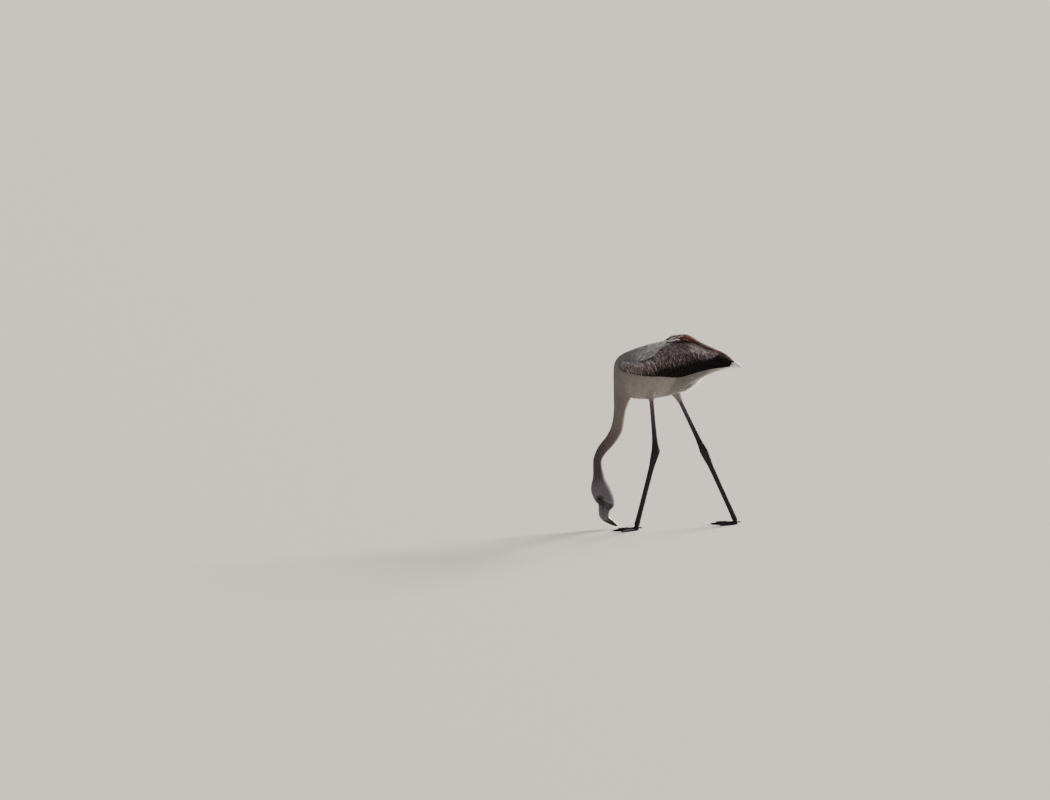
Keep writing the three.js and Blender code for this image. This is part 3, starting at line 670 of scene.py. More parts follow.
for side, name in SIDES.items():
    look = unit(np.array([-0.41, side * 0.91, 0.0]))
    across = unit(np.cross([0, 0, 1], look))
    over = np.cross(look, across)
    middle = EYE * [1, -side, 1]
    # the ball is its profile turned round the way that the eye looks
    turn = np.radians(np.linspace(2, 178, 60))
    radius = EYE_BALL + 0.75 * np.exp(-(np.degrees(turn) / 34) ** 4)  # the cornea is rounder than the ball
    away, radius = (radius * np.cos(turn))[:, None], (radius * np.sin(turn))[:, None]
    grid = capped(ovals(middle + look * away, across * radius, over * radius, turns(48)))
    v = np.degrees(turn) / 90
    v = np.concatenate([[0], v, v[-1:]])
    iris_place = np.stack(np.meshgrid(v, np.linspace(0, 1, 48), indexing="ij")[::-1], -1).reshape(-1, 2)
    ball = shell_piece(f"eyeball_{name}", grid, {"iris": iris_place})
    ball.data.materials.append(eye_ball)
    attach(ball, "root")
    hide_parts(f"eye_{name}")

    # the lids are their section carried round the opening, which is longer in front of the eye and behind it
    turn = turns(120)
    section = smooth_line(LID_SECTION, 30)[:-1]
    corner = np.exp(-((np.abs(turn - np.pi) - np.pi / 2) / 0.4) ** 2)
    out = unit(np.cos(turn)[:, None] * across + np.sin(turn)[:, None] * over)
    crumple = 1 + 0.06 * np.cos(23 * turn) + 0.05 * np.cos(41 * turn + 1)
    bend = np.radians(LID_OPENING + LID_CORNERS * corner)[:, None] + section[:, 0] / EYE_BALL
    fold = 0.1 * np.cos(5 * section[:, 0] + 3 * np.cos(turn)[:, None])
    far = EYE_BALL + section[:, 1] * crumple[:, None] + fold
    grid = middle + (look * np.cos(bend)[..., None] + out[:, None] * np.sin(bend)[..., None]) * far[..., None]
    closed = np.concatenate([grid, grid[:1]])
    tints = np.tile(linear("2A2329"), (closed[..., 0].size, 1))
    lids = shell_piece(f"lids_{name}", closed, None, {"tint": tints})
    lids.data.materials.append(feathered_skin)
    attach(lids, "root")

# --------------------------------------------------------------------------------------------------
# The bill: two horny halves bent down at the middle, the upper like a lid on the deeper lower one. The upper
# one has a slit for a nostril and a groove from it to the bend. Horn, grey at the base and black after it.

# x and z of the ridge of the upper half, x and z of the keel of the lower half, half width
BILL = np.array([
    [-243, 92, -199.5, 77, 14.3], [-242.4, 74, -203.5, 62, 14.4], [-241.6, 56, -206, 50, 14],
    [-238, 40, -205, 41, 13.3], [-227, 27.5, -198.5, 34, 12.2], [-212, 19, -190.5, 27.4, 10.3],
    [-197, 12.2, -184, 20.3, 7.6], [-185, 8.2, -178.2, 14.4, 4.4], [-179.4, 8.4, -177, 11.2, 1.6],
])
UPPER_SHARE = np.array([[0.42], [0.36], [0.4], [0.55]])  # of the bill's depth, from its base to its tip
MOUTH_GAP = 0.5


def bell(value, middle, width):
    """The bell curve: 1 at its middle, and 1/e at its width from there."""
    return np.exp(-((value - middle) / width) ** 2)


def bill_half(is_upper, rows, around):
    """Half of the bill. Each ring runs along the mouth and round the outer face: its depth goes from the
    mouth to the outer line by the cosine of the turn to the power 0.8, and its width by the sine. Gives the
    rings, and each point's share of the length and of the way round."""
    s, share = smooth_line(BILL, rows), smooth_line(UPPER_SHARE, rows)[:, 0]
    ridge, keel = in_middle(s, 0, 1), in_middle(s, 2, 3)
    share = share + (-0.5 if is_upper else 0.5) * MOUTH_GAP / np.linalg.norm(ridge - keel, axis=1)
    mouth = ridge + (keel - ridge) * share[:, None]
    outer = ridge if is_upper else keel
    turn = turns(around)
    t = np.linspace(0, 1, rows)[:, None]
    grid = mouth[:, None] + (outer - mouth)[:, None] * (np.maximum(0, np.cos(turn)) ** 0.8)[None, :, None]
    grid[..., 1] += np.sin(turn) * (s[:, 4] * (0.84 if is_upper else 1))[:, None]
    angle = np.degrees(np.abs(np.arctan2(np.sin(turn), np.cos(turn))))
    if is_upper:  # the nostril, and the groove
        press = 1.3 * bell(t, 0.2, 0.075) * bell(angle, 52, 7)
        press = press + 0.5 * bell(angle, 55, 6) * smoothly(t, 0.02, 0.1) * smoothly(-t, -0.5, -0.36)
    else:  # a groove, and the seam under the keel
        press = 0.35 * bell(angle, 68, 8) * smoothly(t, 0.05, 0.2) * smoothly(-t, -0.9, -0.6)
        press = press + 0.3 * bell(angle, 0, 7) * smoothly(t, 0.1, 0.3)
    inside = mouth + (outer - mouth) * 0.4
    grid = grid - unit(grid - inside[:, None]) * press[..., None]
    return grid, np.stack([t + 0 * angle, angle / 180 + 0 * t], -1)


# Horn, worn smooth: streaks a few tenths of a millimetre wide along it, half glossy.
horn, shader, add = new_material("bill_horn_worn_smooth")
place = add("TexCoord").outputs["Object"]
along = add("SeparateXYZ", [add("UVMap", uv_map="horn")])
cloud = add("Math", [add("TexNoise", [place, 90.0, 5.0]), 0.16, -0.08], operation="MULTIPLY_ADD")
along_bill = add("ValToRGB", [add("Math", [along, cloud], operation="ADD")])
set_bands(along_bill, {0.0: "4A4348", 0.14: "5C555A", 0.4: "6E686D", 0.52: "4A4549", 0.6: "211D20",
                       1.0: "151214"})
streak = add("TexNoise", [add("Mapping", {"Vector": place, "Scale": (1.0, 3.0, 1.0)}), 420.0, 4.0])
tone = add("MapRange", [streak, 0.3, 0.7, 0.86, 1.12])
feed(shader, {
    "Base Color": add("Mix", [1.0, along_bill, tone], **TINTED),
    "Roughness": add("MapRange", [streak, 0.0, 1.0, 0.34, 0.52]),
    "Normal": add("Bump", {"Height": streak, "Strength": 0.25, "Distance": 0.0003})})

for name, is_upper in (("bill_upper", True), ("bill_lower", False)):
    grid, horn_place = bill_half(is_upper, 130, 96)
    horn_place = np.concatenate([horn_place[:1], horn_place, horn_place[-1:]])
    half = shell_piece(name + "_horn", capped(grid), {"horn": horn_place.reshape(-1, 2)})
    half.data.materials.append(horn)
    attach(half, "root")
    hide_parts(name)

# --------------------------------------------------------------------------------------------------
# Claws: a short blunt horny nail on each toe, curved a little downwards, near black.

nail, shader, add = new_material("claw_horn")
grain = add("TexNoise", [add("TexCoord").outputs["Object"], 500.0, 4.0])
feed(shader, {
    "Base Color": add("Mix", [1.0, "1F1A1C", add("MapRange", [grain, 0.3, 0.7, 0.7, 1.3])], **TINTED),
    "Roughness": 0.38, "Normal": add("Bump", {"Height": grain, "Strength": 0.3, "Distance": 0.0002})})


NAIL_HEIGHT = 3.2


def claw(side, length, degrees, height):
    """A nail: a tube whose radius goes from 2.7 to 0.5 by a curve, and whose line sinks 1.2 mm to the tip."""
    heading = toe_heading(side, degrees)
    t = np.linspace(0, 1, 20)
    path = leg_joints(side)[-1] * [1, 1, 0] + heading * (length - 2 + 8 * t)[:, None]
    path[:, 2] = height + 0.6 * np.sin(np.pi * t) - 1.2 * t ** 2
    radius = 2.7 - 0.7 * t - 1.5 * t ** 3
    return tube(path, UP, radius * 0.95, np.cross(UP, heading), radius, 16)


for side, name in SIDES.items():
    nails = [claw(side, length, degrees, NAIL_HEIGHT) for length, degrees in TOES.values()]
    nails.append(claw(side, HIND_TOE, HIND_ANGLE, HIND_HEIGHT - 5))
    points, quads, _, _ = joined([(grid, (0, 0, 1, 1), 0) for grid in nails])
    claws = mesh_piece(f"claws_{name}", points, quads)
    weld(claws)
    claws.data.materials.append(nail)
    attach(claws, "root")
    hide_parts(*(f"claw_{name}_{toe_name}" for toe_name in ("inner", "middle", "outer", "hind")))

# --------------------------------------------------------------------------------------------------
# The plumage of head, neck, body and thighs: small feathers, each a thin closed blade rooted in the skin,
# that point from the face to the tail and overlap like tiles. They are shortest on the face, as fine as fur.

GOLDEN = 0.6180339887
STEPS = 200  # across, by which even_roots sums up the area


def even_roots(surface, low, high, start, end, count, crowd=([0], [1])):
    """Places spread evenly by area between two values along and two across, as seeds are on a sunflower: the
    places along follow the area summed up, and those across step on by the golden ratio, by the area in a
    row. They crowd by a factor along the surface."""
    p, q = np.meshgrid(np.linspace(low, high, 500), np.linspace(start, end, STEPS), indexing="ij")
    area = surface.read(surface.long, p, q) * surface.read(surface.wide, p, q) * np.interp(p, *crowd) + 1e-6
    number = np.arange(count)
    rows = np.cumsum(area.sum(1))
    root_p = np.interp((number + 0.5) / count, rows / rows[-1], p[:, 0])
    share = np.cumsum(area, axis=1)[np.searchsorted(rows / rows[-1], (number + 0.5) / count)]
    share = share / share[:, -1:]
    wanted = number * GOLDEN % 1
    k = np.clip((share < wanted[:, None]).sum(1), 1, STEPS - 1)
    below, above = share[number, k - 1], share[number, k]
    f = np.clip((wanted - below) / np.maximum(above - below, 1e-9), 0, 1)
    return root_p, q[0, k - 1] + (q[0, k] - q[0, k - 1]) * f


def blades(surface, p, q, half, form, out, columns=4, thick=0.3, camber=0.1):
    """Feather blades on a surface. Each follows its line of places p, q at the heights out. Its half width
    goes by the form. At a share s of it to either side it lies s steps square to the line, its thickness goes
    by the root of 1 - s^2, and it arches by the camber times the half width. Gives the points, and each one's
    place on the vane: s and then t, the share of the length."""
    top = np.linspace(-1, 1, columns // 2 + 1)
    s = np.concatenate([top, top[-2:0:-1]])
    face = np.where(np.arange(columns) < len(top), 1, -1)
    half = half[:, None] * form[:, 1]
    long = np.maximum(surface.read(surface.long, p, q), 0.25)
    wide = surface.read(surface.wide, p, q)
    ahead, aside = np.gradient(p, axis=1) * long, np.gradient(q, axis=1) * wide
    size = np.hypot(ahead, aside)
    step = half[..., None] * s
    at_p = p[..., None] - (aside / size / long)[..., None] * step
    at_q = q[..., None] + (ahead / size / wide)[..., None] * step
    t = np.linspace(0, 1, p.shape[1])[:, None]
    body_height = thick * (1 - 0.7 * t) * np.sqrt(1 - s ** 2) * face / 2
    rise = out[..., None] + body_height + camber * half[..., None] * (1 - s ** 2)
    vane = np.stack([0.5 + s / 2 + 0 * t, t + 0 * s], -1)
    return surface.point(at_p, at_q, rise), np.broadcast_to(vane, at_p.shape + (2,))


def blade_quads(rows, columns, count):
    """The faces of closed blades: round each ring to the next, and the root's and the tip's ring closed by
    strips of four corners."""
    i, j = np.arange(rows - 1)[:, None] * columns, np.arange(columns)[None, :]
    k = (j + 1) % columns
    sides = np.stack([i + j, i + k, i + columns + k, i + columns + j], -1).reshape(-1, 4)
    strips = [[n, n + 1, columns - n, columns - n + 1] for n in range(2, columns // 2)]
    tip = np.array([[0, 1, 2, columns - 1]] + strips)
    one = np.concatenate([sides, tip[:, ::-1], tip + (rows - 1) * columns])
    return (one[None] + np.arange(count)[:, None, None] * rows * columns).reshape(-1, 4)


def straight(surface, p, q, length, turn, form):
    """A straight line on the surface for each root: places at the form's shares of its length, at an angle
    from the direction along."""
    long = np.maximum(surface.read(surface.long, p, q), 0.35)[:, None]
    wide = surface.read(surface.wide, p, q)[:, None]
    reach = length[:, None] * form[:, 0]
    line_p = p[:, None] + reach * np.cos(turn)[:, None] / long
    return line_p, q[:, None] + reach * np.sin(turn)[:, None] / wide


PATCH = 0.003  # how much of the unwrap a feather takes


def feather_piece(name, groups, material):
    """One mesh from groups of blades. A group is its points, its vane places, the colour and the fringe
    colour of each blade, and each root's place on the skin's unwrap, round which a blade takes a patch."""
    points, quads, layers, rims, count = [], [], {}, [], 0
    for blade_points, vane, tint, fringe, place in groups:
        number, rows, columns = blade_points.shape[:3]
        flat, vane = blade_points.reshape(-1, 3), vane.reshape(-1, 2)
        faces = blade_quads(rows, columns, number)
        points.append(flat)
        quads.append((faces[:, ::-1] if inside_out(flat, faces) else faces) + count)
        count += len(flat)
        tint, fringe, place = (np.repeat(value, rows * columns, 0) for value in (tint, fringe, place))
        for layer, value in (("OFBake", place + (vane - 0.5) * PATCH), ("vane", vane), ("tint", tint),
                             ("fringe", fringe)):
            layers.setdefault(layer, []).append(value)
        ring = np.arange(columns)
        rims.append(np.tile((ring == 0) + 2 * (ring == columns // 2), number * rows))
    layers = {layer: np.concatenate(values) for layer, values in layers.items()}
    piece = mesh_piece(name, np.concatenate(points), np.concatenate(quads),
                       {"OFBake": layers["OFBake"], "vane": layers["vane"]},
                       {"tint": layers["tint"], "fringe": layers["fringe"]})
    # both faces of a vane stay flat in the light: its two rims are sharp edges
    ends, rim = np.empty(2 * len(piece.data.edges), np.int32), np.concatenate(rims)
    piece.data.edges.foreach_get("vertices", ends)
    first, second = rim[ends[::2]], rim[ends[1::2]]
    piece.data.attributes.new("sharp_edge", "BOOLEAN", "EDGE").data.foreach_set(
        "value", (first == second) & (first > 0))
    piece.data.materials.append(material)
    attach(piece, "root")
    return piece


def plumage(name, barbs, shaft, rough, bloom, both_sides, edge_from, tip_from):
    """Feather vane: matt and soft, barbs running out from a shaft, its own colour inside a fringe of another.
    The barbs are drawn a few to the millimetre at most, coarser than real ones, so that they show. The fringe
    runs along both sides or only the upper one, from a share of the half width, and round the tip from a
    share of the length."""
    material, shader, add = new_material(name)
    place = add("TexCoord").outputs["Object"]
    split = add("SeparateXYZ", [add("UVMap", uv_map="vane")])
    t = split.outputs["Y"]
    aside = add("Math", [split, 2.0, -1.0], operation="MULTIPLY_ADD")
    away = add("Math", [aside], operation="ABSOLUTE")
    ragged = add("Math", [add("TexNoise", [place, 320.0, 3.0]), 0.5, -0.25], operation="MULTIPLY_ADD")
    near_edge = add("MapRange", [away if both_sides else aside, edge_from, 1.0])
    near_tip = add("MapRange", [t, tip_from, 1.1])
    most = add("Math", [near_edge, near_tip], operation="MAXIMUM")
    rim = add("MapRange", [add("Math", [most, ragged], operation="ADD"), 0.3, 0.75],
              interpolation_type="SMOOTHSTEP")
    tint, fringe = (add("Attribute", attribute_name=layer) for layer in ("tint", "fringe"))
    colour = add("Mix", [rim, tint, fringe], data_type="RGBA")
    lean = add("Math", [away, -0.35, t], operation="MULTIPLY_ADD")
    phase = add("Math", [lean, barbs * FULL], operation="MULTIPLY")
    barb = add("Math", [phase], operation="SINE")
    stem = add("MapRange", [away, 0.03, 0.1, shaft, 1.0])
    line = add("Math", [barb, 0.06, 1.0], operation="MULTIPLY_ADD")
    shade = add("Math", [line, stem], operation="MULTIPLY")
    drift = add("MapRange", [add("TexNoise", [place, 55.0, 4.0]), 0.3, 0.7, 0.88, 1.1])
    total = add("Math", [shade, drift], operation="MULTIPLY")
    raised = add("Math", [stem, -2.0, barb], operation="MULTIPLY_ADD")
    feed(shader, {
        "Base Color": add("Mix", [1.0, colour, total], **TINTED), "Roughness": rough,
        "Specular IOR Level": 0.06, "Sheen Weight": bloom, "Sheen Roughness": 0.6,
        "Normal": add("Bump", {"Height": raised, "Strength": 0.35, "Distance": 0.00015})})
    return material


soft_down = plumage("soft_contour_feathers", 9, 0.97, 0.88, 0.25, True, 0.3, 0.62)
vane_web = plumage("firm_flight_feathers", 34, 0.72, 0.6, 0.0, False, -0.25, 0.9)

POINTED = np.array([[0, 0.5], [0.4, 1], [0.76, 0.68], [1, 0.08]])  # share of the length, of the half width
SIZE_AT = [0, 30, 70, 120, 200, 330, 430, 520, 640, 836]  # from the face
LENGTH_AT = [2.8, 4.0, 5.6, 8, 11, 15, 20, 25, 28, 30]
HALF_AT = [0.42, 0.58, 0.8, 1.2, 1.7, 2.3, 3.1, 4.2, 4.8, 5.0]


def varied(count, spread):
    """Numbers round 1, with a normal spread, kept within two and a half spreads."""
    return 1 + spread * np.clip(rng.normal(size=count), -2.5, 2.5)


def on_body_map(p, q):
    """A place of the body on the unwrap of the skin."""
    return np.stack([p / from_face[-1] * BODY_SHARE, q / FULL % 1], -1)


def body_feathers(p, q, stand=0.1):
    """A group of feathers of the body at the given roots: length and width follow the distance from the face,
    the root lies deeper the longer the feather, down to 0.8 of the coat's depth, and the tip just over it."""
    count = len(p)
    length = np.interp(p, SIZE_AT, LENGTH_AT) * varied(count, 0.12)
    half = np.interp(p, SIZE_AT, HALF_AT) * varied(count, 0.12)
    line_p, line_q = straight(dressed, p, q, length, 0.1 * rng.normal(size=count), POINTED)
    tip = stand * np.abs(rng.normal(size=count)) * np.interp(p, [0, 100, 430], [0.4, 0.6, 1.0]) - 0.3
    rooted = -np.minimum(0.8 * coat_depth(p), 0.3 + 0.07 * length)
    out = blend(rooted[:, None], tip[:, None], np.sin(POINTED[:, 0] * np.pi / 2))
    camber = np.interp(p, [0, 200, 430], [0.12, 0.08, 0.02])[:, None, None]
    vanes = blades(dressed, line_p, line_q, half, POINTED, out, thick=0.14, camber=camber)
    tint = body_tint(p, q, dressed.point(p, q)) * varied(count, 0.04)[:, None]
    fringe = tint * np.interp(p, [0, 110, 330, 500], [1.06, 1.08, 1.1, 1.12])[:, None]
    return *vanes, tint, fringe, on_body_map(p, q)


MANTLE_EDGE = ([-181, -129, -100, -70, -49, -32, -10], [0.62, 0.2, 0.16, 0.3, 0.62, 0.94, 1.3])
CHORD = np.linspace(-1, 1, 61)


def wing_surface(side):
    """The outer face of a folded wing: x along it, and across from -1 at the lower to 1 at the upper edge."""
    s = smooth_line(WING, 240)
    inside = np.stack([s[:, 0], 0 * s[:, 0], (s[:, 2] + s[:, 4]) / 2], 1)
    return Surface(wing_rings(side, np.arccos(CHORD), 0, 240), s[:, 0], CHORD, False, inside[:, None])


wing_face = wing_surface(RIGHT)
wing_x, wing_low, wing_high = wing_face.along, wing_face.grid[:, 0, 2], wing_face.grid[:, -1, 2]


def on_wing(points):
    """Where places lie against the wing: -1 at its lower edge and 1 at its upper, by their height."""
    low, high = (np.interp(points[..., 0], wing_x, edge) for edge in (wing_low, wing_high))
    return (points[..., 2] - low) / (high - low) * 2 - 1


MOST_OVER_WINGS, MOST_OVER_THIGHS = 22, 11
SMOOTHED_ALONG, SMOOTHED_AROUND = 24, 7  # times


def lifted_over_wings(surface):
    """The body's surface raised, along its normal, to the outer face of the wings and of the thighs where
    they lie on it, and smoothed by taking the mean of neighbours many times, for feathers to lie over."""
    grid, slope = surface.grid, np.abs(surface.normal[..., 1])
    x, y, z = np.moveaxis(grid, -1, 0)
    c = on_wing(grid)
    nearest = np.interp(x.mean(1), wing_x, np.arange(len(wing_x))).astype(int)
    out_y = np.array([np.interp(row, CHORD, np.abs(wing_face.grid[i, :, 1])) for i, row in zip(nearest, c)])
    there = (c > np.interp(x, *MANTLE_EDGE) - 0.3) & (c < 1.02) & (from_face > 500)[:, None]
    there &= (x > -179) & (x < 20)
    lift = np.clip(np.where(there, np.maximum(out_y - np.abs(y), 0) * slope, 0), 0, MOST_OVER_WINGS)
    for side in SIDES:
        (top_x, top_z), (end_x, end_z) = KNEE[side], FEATHER_END[side]
        t = np.clip((top_z - z) / (top_z - end_z), 0, 1)
        radius = drawn_in(np.interp(t, [0, 0.25, 0.5, 0.75, 1], THIGH), t)
        aside = (x - top_x - (end_x - top_x) * t) / radius
        over = STANCE + 0.74 * radius * np.sqrt(np.clip(1 - aside ** 2, 0, 1)) - side * y
        near = (np.abs(aside) < 1) & (side * y > 18) & (z < top_z + 8)
        lift = np.where(near, np.clip(1.5 * over * slope, 0, MOST_OVER_THIGHS), lift)
    for _ in range(SMOOTHED_ALONG):
        lift[1:-1] = (lift[:-2] + 2 * lift[1:-1] + lift[2:]) / 4
    for _ in range(SMOOTHED_AROUND):
        lift = (np.roll(lift, 1, 1) + 2 * lift + np.roll(lift, -1, 1)) / 4
    grid = grid + surface.normal * lift[..., None]
    return Surface(grid, surface.along, surface.across, True, spine[:, None])


dressed = lifted_over_wings(body)


def under_wing(points):
    """Whether a place is hidden by the folded wing: below the mantle's edge on it, or under the tertials."""
    x, c = points[..., 0], on_wing(points)
    flank = (x > -172) & (x < 205) & (c > -0.8) & (c < np.interp(x, *MANTLE_EDGE) + 0.1)
    padded = (x > 22) & (c > 0.6) & (points[..., 2] > 560) & (np.abs(points[..., 1]) > 7)
    return flank & (c < 1.35) & (np.abs(points[..., 1]) > 12) | padded


def coat(name, p, q, stand=0.1, lengths=(("", -np.inf, np.inf),)):
    """The feathers of a stretch of the body: a piece for each side and for each length of it, by its name and
    where it starts and ends."""
    for part, near_side in (("left", np.sin(q) < 0), ("right", np.sin(q) >= 0)):
        for end, low, high in lengths:
            mask = near_side & (p >= low) & (p < high)
            feather_piece(f"{name}_{part}{end}", [body_feathers(p[mask], q[mask], stand)], soft_down)


HEAD_END, NECK_END, BODY_MIDDLE = 104.0, 415.0, 590  # from the face
HEAD_COUNT, NECK_COUNT, BODY_COUNT = 15000, 12000, 25000  # of feathers
p, q = even_roots(body, 4, HEAD_END, 0, FULL, HEAD_COUNT, ([0, 60, 104], [1.6, 1.2, 0.8]))
root = dressed.point(p, q)
covered = (bare_face(root) > 0.35) | ((from_eye(root) < 8.2) & (np.abs(root[:, 1]) > 9))
coat("head_feathers", p[~covered], q[~covered], 0.07)

p, q = even_roots(body, HEAD_END, NECK_END, 0, FULL, NECK_COUNT, ([104, 260, 415], [1.5, 1.0, 0.55]))
coat("neck_feathers", p, q)

p, q = even_roots(body, NECK_END, from_face[-1] - 6, 0, FULL, BODY_COUNT, ([415, 520, 836], [1.3, 1.0, 0.75]))
keep = ~under_wing(body.point(p, q))
coat("body_feathers", p[keep], q[keep],
     lengths=(("_front", -np.inf, BODY_MIDDLE), ("_rear", BODY_MIDDLE, np.inf)))

# Loose white feathers round the vent, standing out from the belly and behind the thighs. Light gets in.
TRUNK = slice(300, None)  # the rings behind the neck, along which x only rises
count = 1500
p = np.interp(np.clip(rng.normal(52, 20, count), 22, 104), spine[TRUNK, 0], from_face[TRUNK])
q = np.pi + np.clip(rng.normal(size=count), -2, 2) * 0.22
length = rng.uniform(14, 30, count)
line_p, line_q = straight(body, p, q, length, 0.5 * rng.normal(size=count), POINTED)
rise = rng.uniform(1, 16, count) * np.interp(p, [655, 672, 705, 740], [0.3, 1, 0.8, 0.25])
out = -2 + (rise[:, None] + 2) * POINTED[:, 0] ** 1.3
vanes = blades(body, line_p, line_q, 1.2 * varied(count, 0.25), POINTED, out, thick=0.12, camber=0.05)
white = linear("F7F4EE") * varied(count, 0.03)[:, None]
white_down = plumage("white_vent_down", 9, 0.97, 0.88, 0.25, True, 0.3, 0.62)
feed(white_down.node_tree.nodes["Principled BSDF"],
     {"Subsurface Weight": 1.0, "Subsurface Radius": (1.0, 0.95, 0.9), "Subsurface Scale": 0.002})
feather_piece("vent_feathers", [(*vanes, white, white, on_body_map(p, q))], white_down)

# The feathered thighs, whitish behind.
groups, count = [], 1150
for side in SIDES:
    knee, end, _, _ = leg_joints(side)
    span = np.linalg.norm(end - knee)
    axis = knee + (end - knee) * np.linspace(0, 1, 40)[:, None]
    thigh = Surface(thigh_rings(side, 40, 48, 0), np.linspace(0, span, 40), turns(48), True, axis[:, None])
    p, q = even_roots(thigh, span * 0.06, span - 4, 0, FULL, count)
    length, turn = np.interp(p, [0, span], [26, 10]) * varied(count, 0.12), 0.12 * rng.normal(size=count)
    line_p, line_q = straight(thigh, p, q, length, turn, POINTED)
    half = np.interp(p, [0, span], [4.8, 1.8]) * varied(count, 0.1)
    out = blend(-2.4, 0.6, POINTED[:, 0]) + 0 * line_p
    vanes = blades(thigh, np.minimum(line_p, span + 3), line_q, half, POINTED, out, thick=0.16, camber=0.06)
    tint = mixed(p / span, [0, 0.6, 1], ["8C857F", "7E7772", "675D63"]) * varied(count, 0.05)[:, None]
    tint = blend(tint, linear("DAD3C8"), (0.6 * smoothly(-np.cos(q), 0.2, 0.8))[:, None])
    place = np.stack([BODY_SHARE + 0.08 * p / span, (0 if side == LEFT else 0.5) + q / FULL / 2], -1)
    groups.append((*vanes, tint, tint * 1.1, place))
feather_piece("thigh_feathers", groups, soft_down)

# --------------------------------------------------------------------------------------------------
# The wings: rows of brown coverts with buff edges that slant down and back, black secondaries under them,
# black primaries to the tip, and over the front the grey mantle. All are vanes of keratin.

HALF_CHORD = 56  # millimetres from the middle of the wing to its edge
WING_FRONT, WING_END = -180, 218
LONG_VANE = np.array([[0, 0.55], [0.12, 0.85], [0.35, 1], [0.62, 1], [0.84, 0.82], [0.95, 0.5], [1, 0.14]])
COVERT = np.array([[0, 0.5], [0.25, 0.9], [0.55, 1], [0.78, 0.74], [0.93, 0.36], [1, 0.08]])


def covert_colours(x, c, count):
    """Colours of the wing's small feathers, and of their edges: brown in front and above, near black below,
    with a paler greyish patch above the middle of the rear half and buff edges that are boldest just over the
    black. The places are those of the feathers' tips, which is the part that shows."""
    over = c - np.interp(x, [-181, -125, -107, -66, -50, -25, 25, 67, 101, 131, 150, 164, 180], [
        -0.85, -0.75, -0.62, -0.54, -0.46, -0.38, -0.36, -0.28, -0.14, 0.05, 0.4, 0.85, 1.2])
    deep = 0.62 * (1 - smoothly(over, 0.25, 0.7)) * smoothly(x, -120, -50)
    deep = (deep * smoothly(-x, -130, -90) + 0.5 * (1 - smoothly(x, -110, -60)))[:, None]
    tint = blend(linear("78656A") * (1 - deep), linear("110A11"), (1 - smoothly(over, -0.16, 0.2))[:, None])
    patch = 0.75 * smoothly(x, 50, 68) * smoothly(-x, -124, -104) * smoothly(c, 0.1, 0.35)
    tint = blend(tint, linear("A0948F"), patch[:, None])
    mantle = smoothly(c - np.interp(x, *MANTLE_EDGE), -0.25, 0.1)[:, None]
    tint = blend(tint, linear("938B89"), mantle)
    bold = np.exp(-((over - 0.24) / 0.24) ** 2) * (rng.random(count) < 0.36) * smoothly(x, -80, -40)
    tint = tint * (np.exp(0.38 * np.clip(rng.normal(size=count), -1.8, 1.8)) * (1 - 0.4 * bold))[:, None]
    faint = 0.6 * (over > 0.4) * (rng.random(count) < 0.5)
    front = 0.7 * (x < -45) * (over > 0.12) * (rng.random(count) < 0.22) * (1 - mantle[:, 0])
    edge = np.clip(np.maximum(np.maximum(bold, faint), front) * rng.uniform(0.65, 1, count), 0.04, 0.95)
    return tint, blend(tint, linear("DBCABE"), edge[:, None])


def on_wing_map(side, x, c):
    """The place of a point of a wing's outer face on the unwrap of the skin."""
    along = np.interp(x, wing_x, np.linspace(0, 1, len(wing_x)))
    across = FOLDED_SHARE * np.arccos(np.clip(c, -1, 1)) / FULL
    return np.stack([WING_AT + 0.1 * along, FOLDED_LOW[side] + across], -1)


def wing_group(surface, side, p, q, length, half, turn, base, tip, tint, fringe):
    """A group of straight feathers on a wing, from one height over it at the root to another at the tip."""
    line_p, line_q = straight(surface, p, q, length, turn, COVERT)
    out = blend(base, tip[:, None], COVERT[:, 0])
    line_p, line_q = np.clip(line_p, WING_FRONT, WING_END), np.clip(line_q, -0.985, 0.985)
    vanes = blades(surface, line_p, line_q, half, COVERT, out, 6, 0.35)
    return *vanes, tint, fringe, on_wing_map(side, p, q)


def flight_layer(surface, side, x, c, end_x, end_c, sag, half, base, rise, tint, fringe):
    """A group of long feathers: each line runs from a root to a tip in x and place across, bowed down by the
    sag at its middle, and rises from its base over the wing's face."""
    t = LONG_VANE[:, 0]
    line_p = x[:, None] + (end_x - x)[:, None] * t
    line_q = c[:, None] + (end_c - c)[:, None] * t - sag * np.sin(np.pi * t)
    line_p, line_q = np.clip(line_p, WING_FRONT, WING_END), np.clip(line_q, -0.97, 0.98)
    vanes = blades(surface, line_p, line_q, half, LONG_VANE, base[:, None] + rise * t, 8, 0.6, 0.05)
    return *vanes, tint, fringe, on_wing_map(side, x, c)


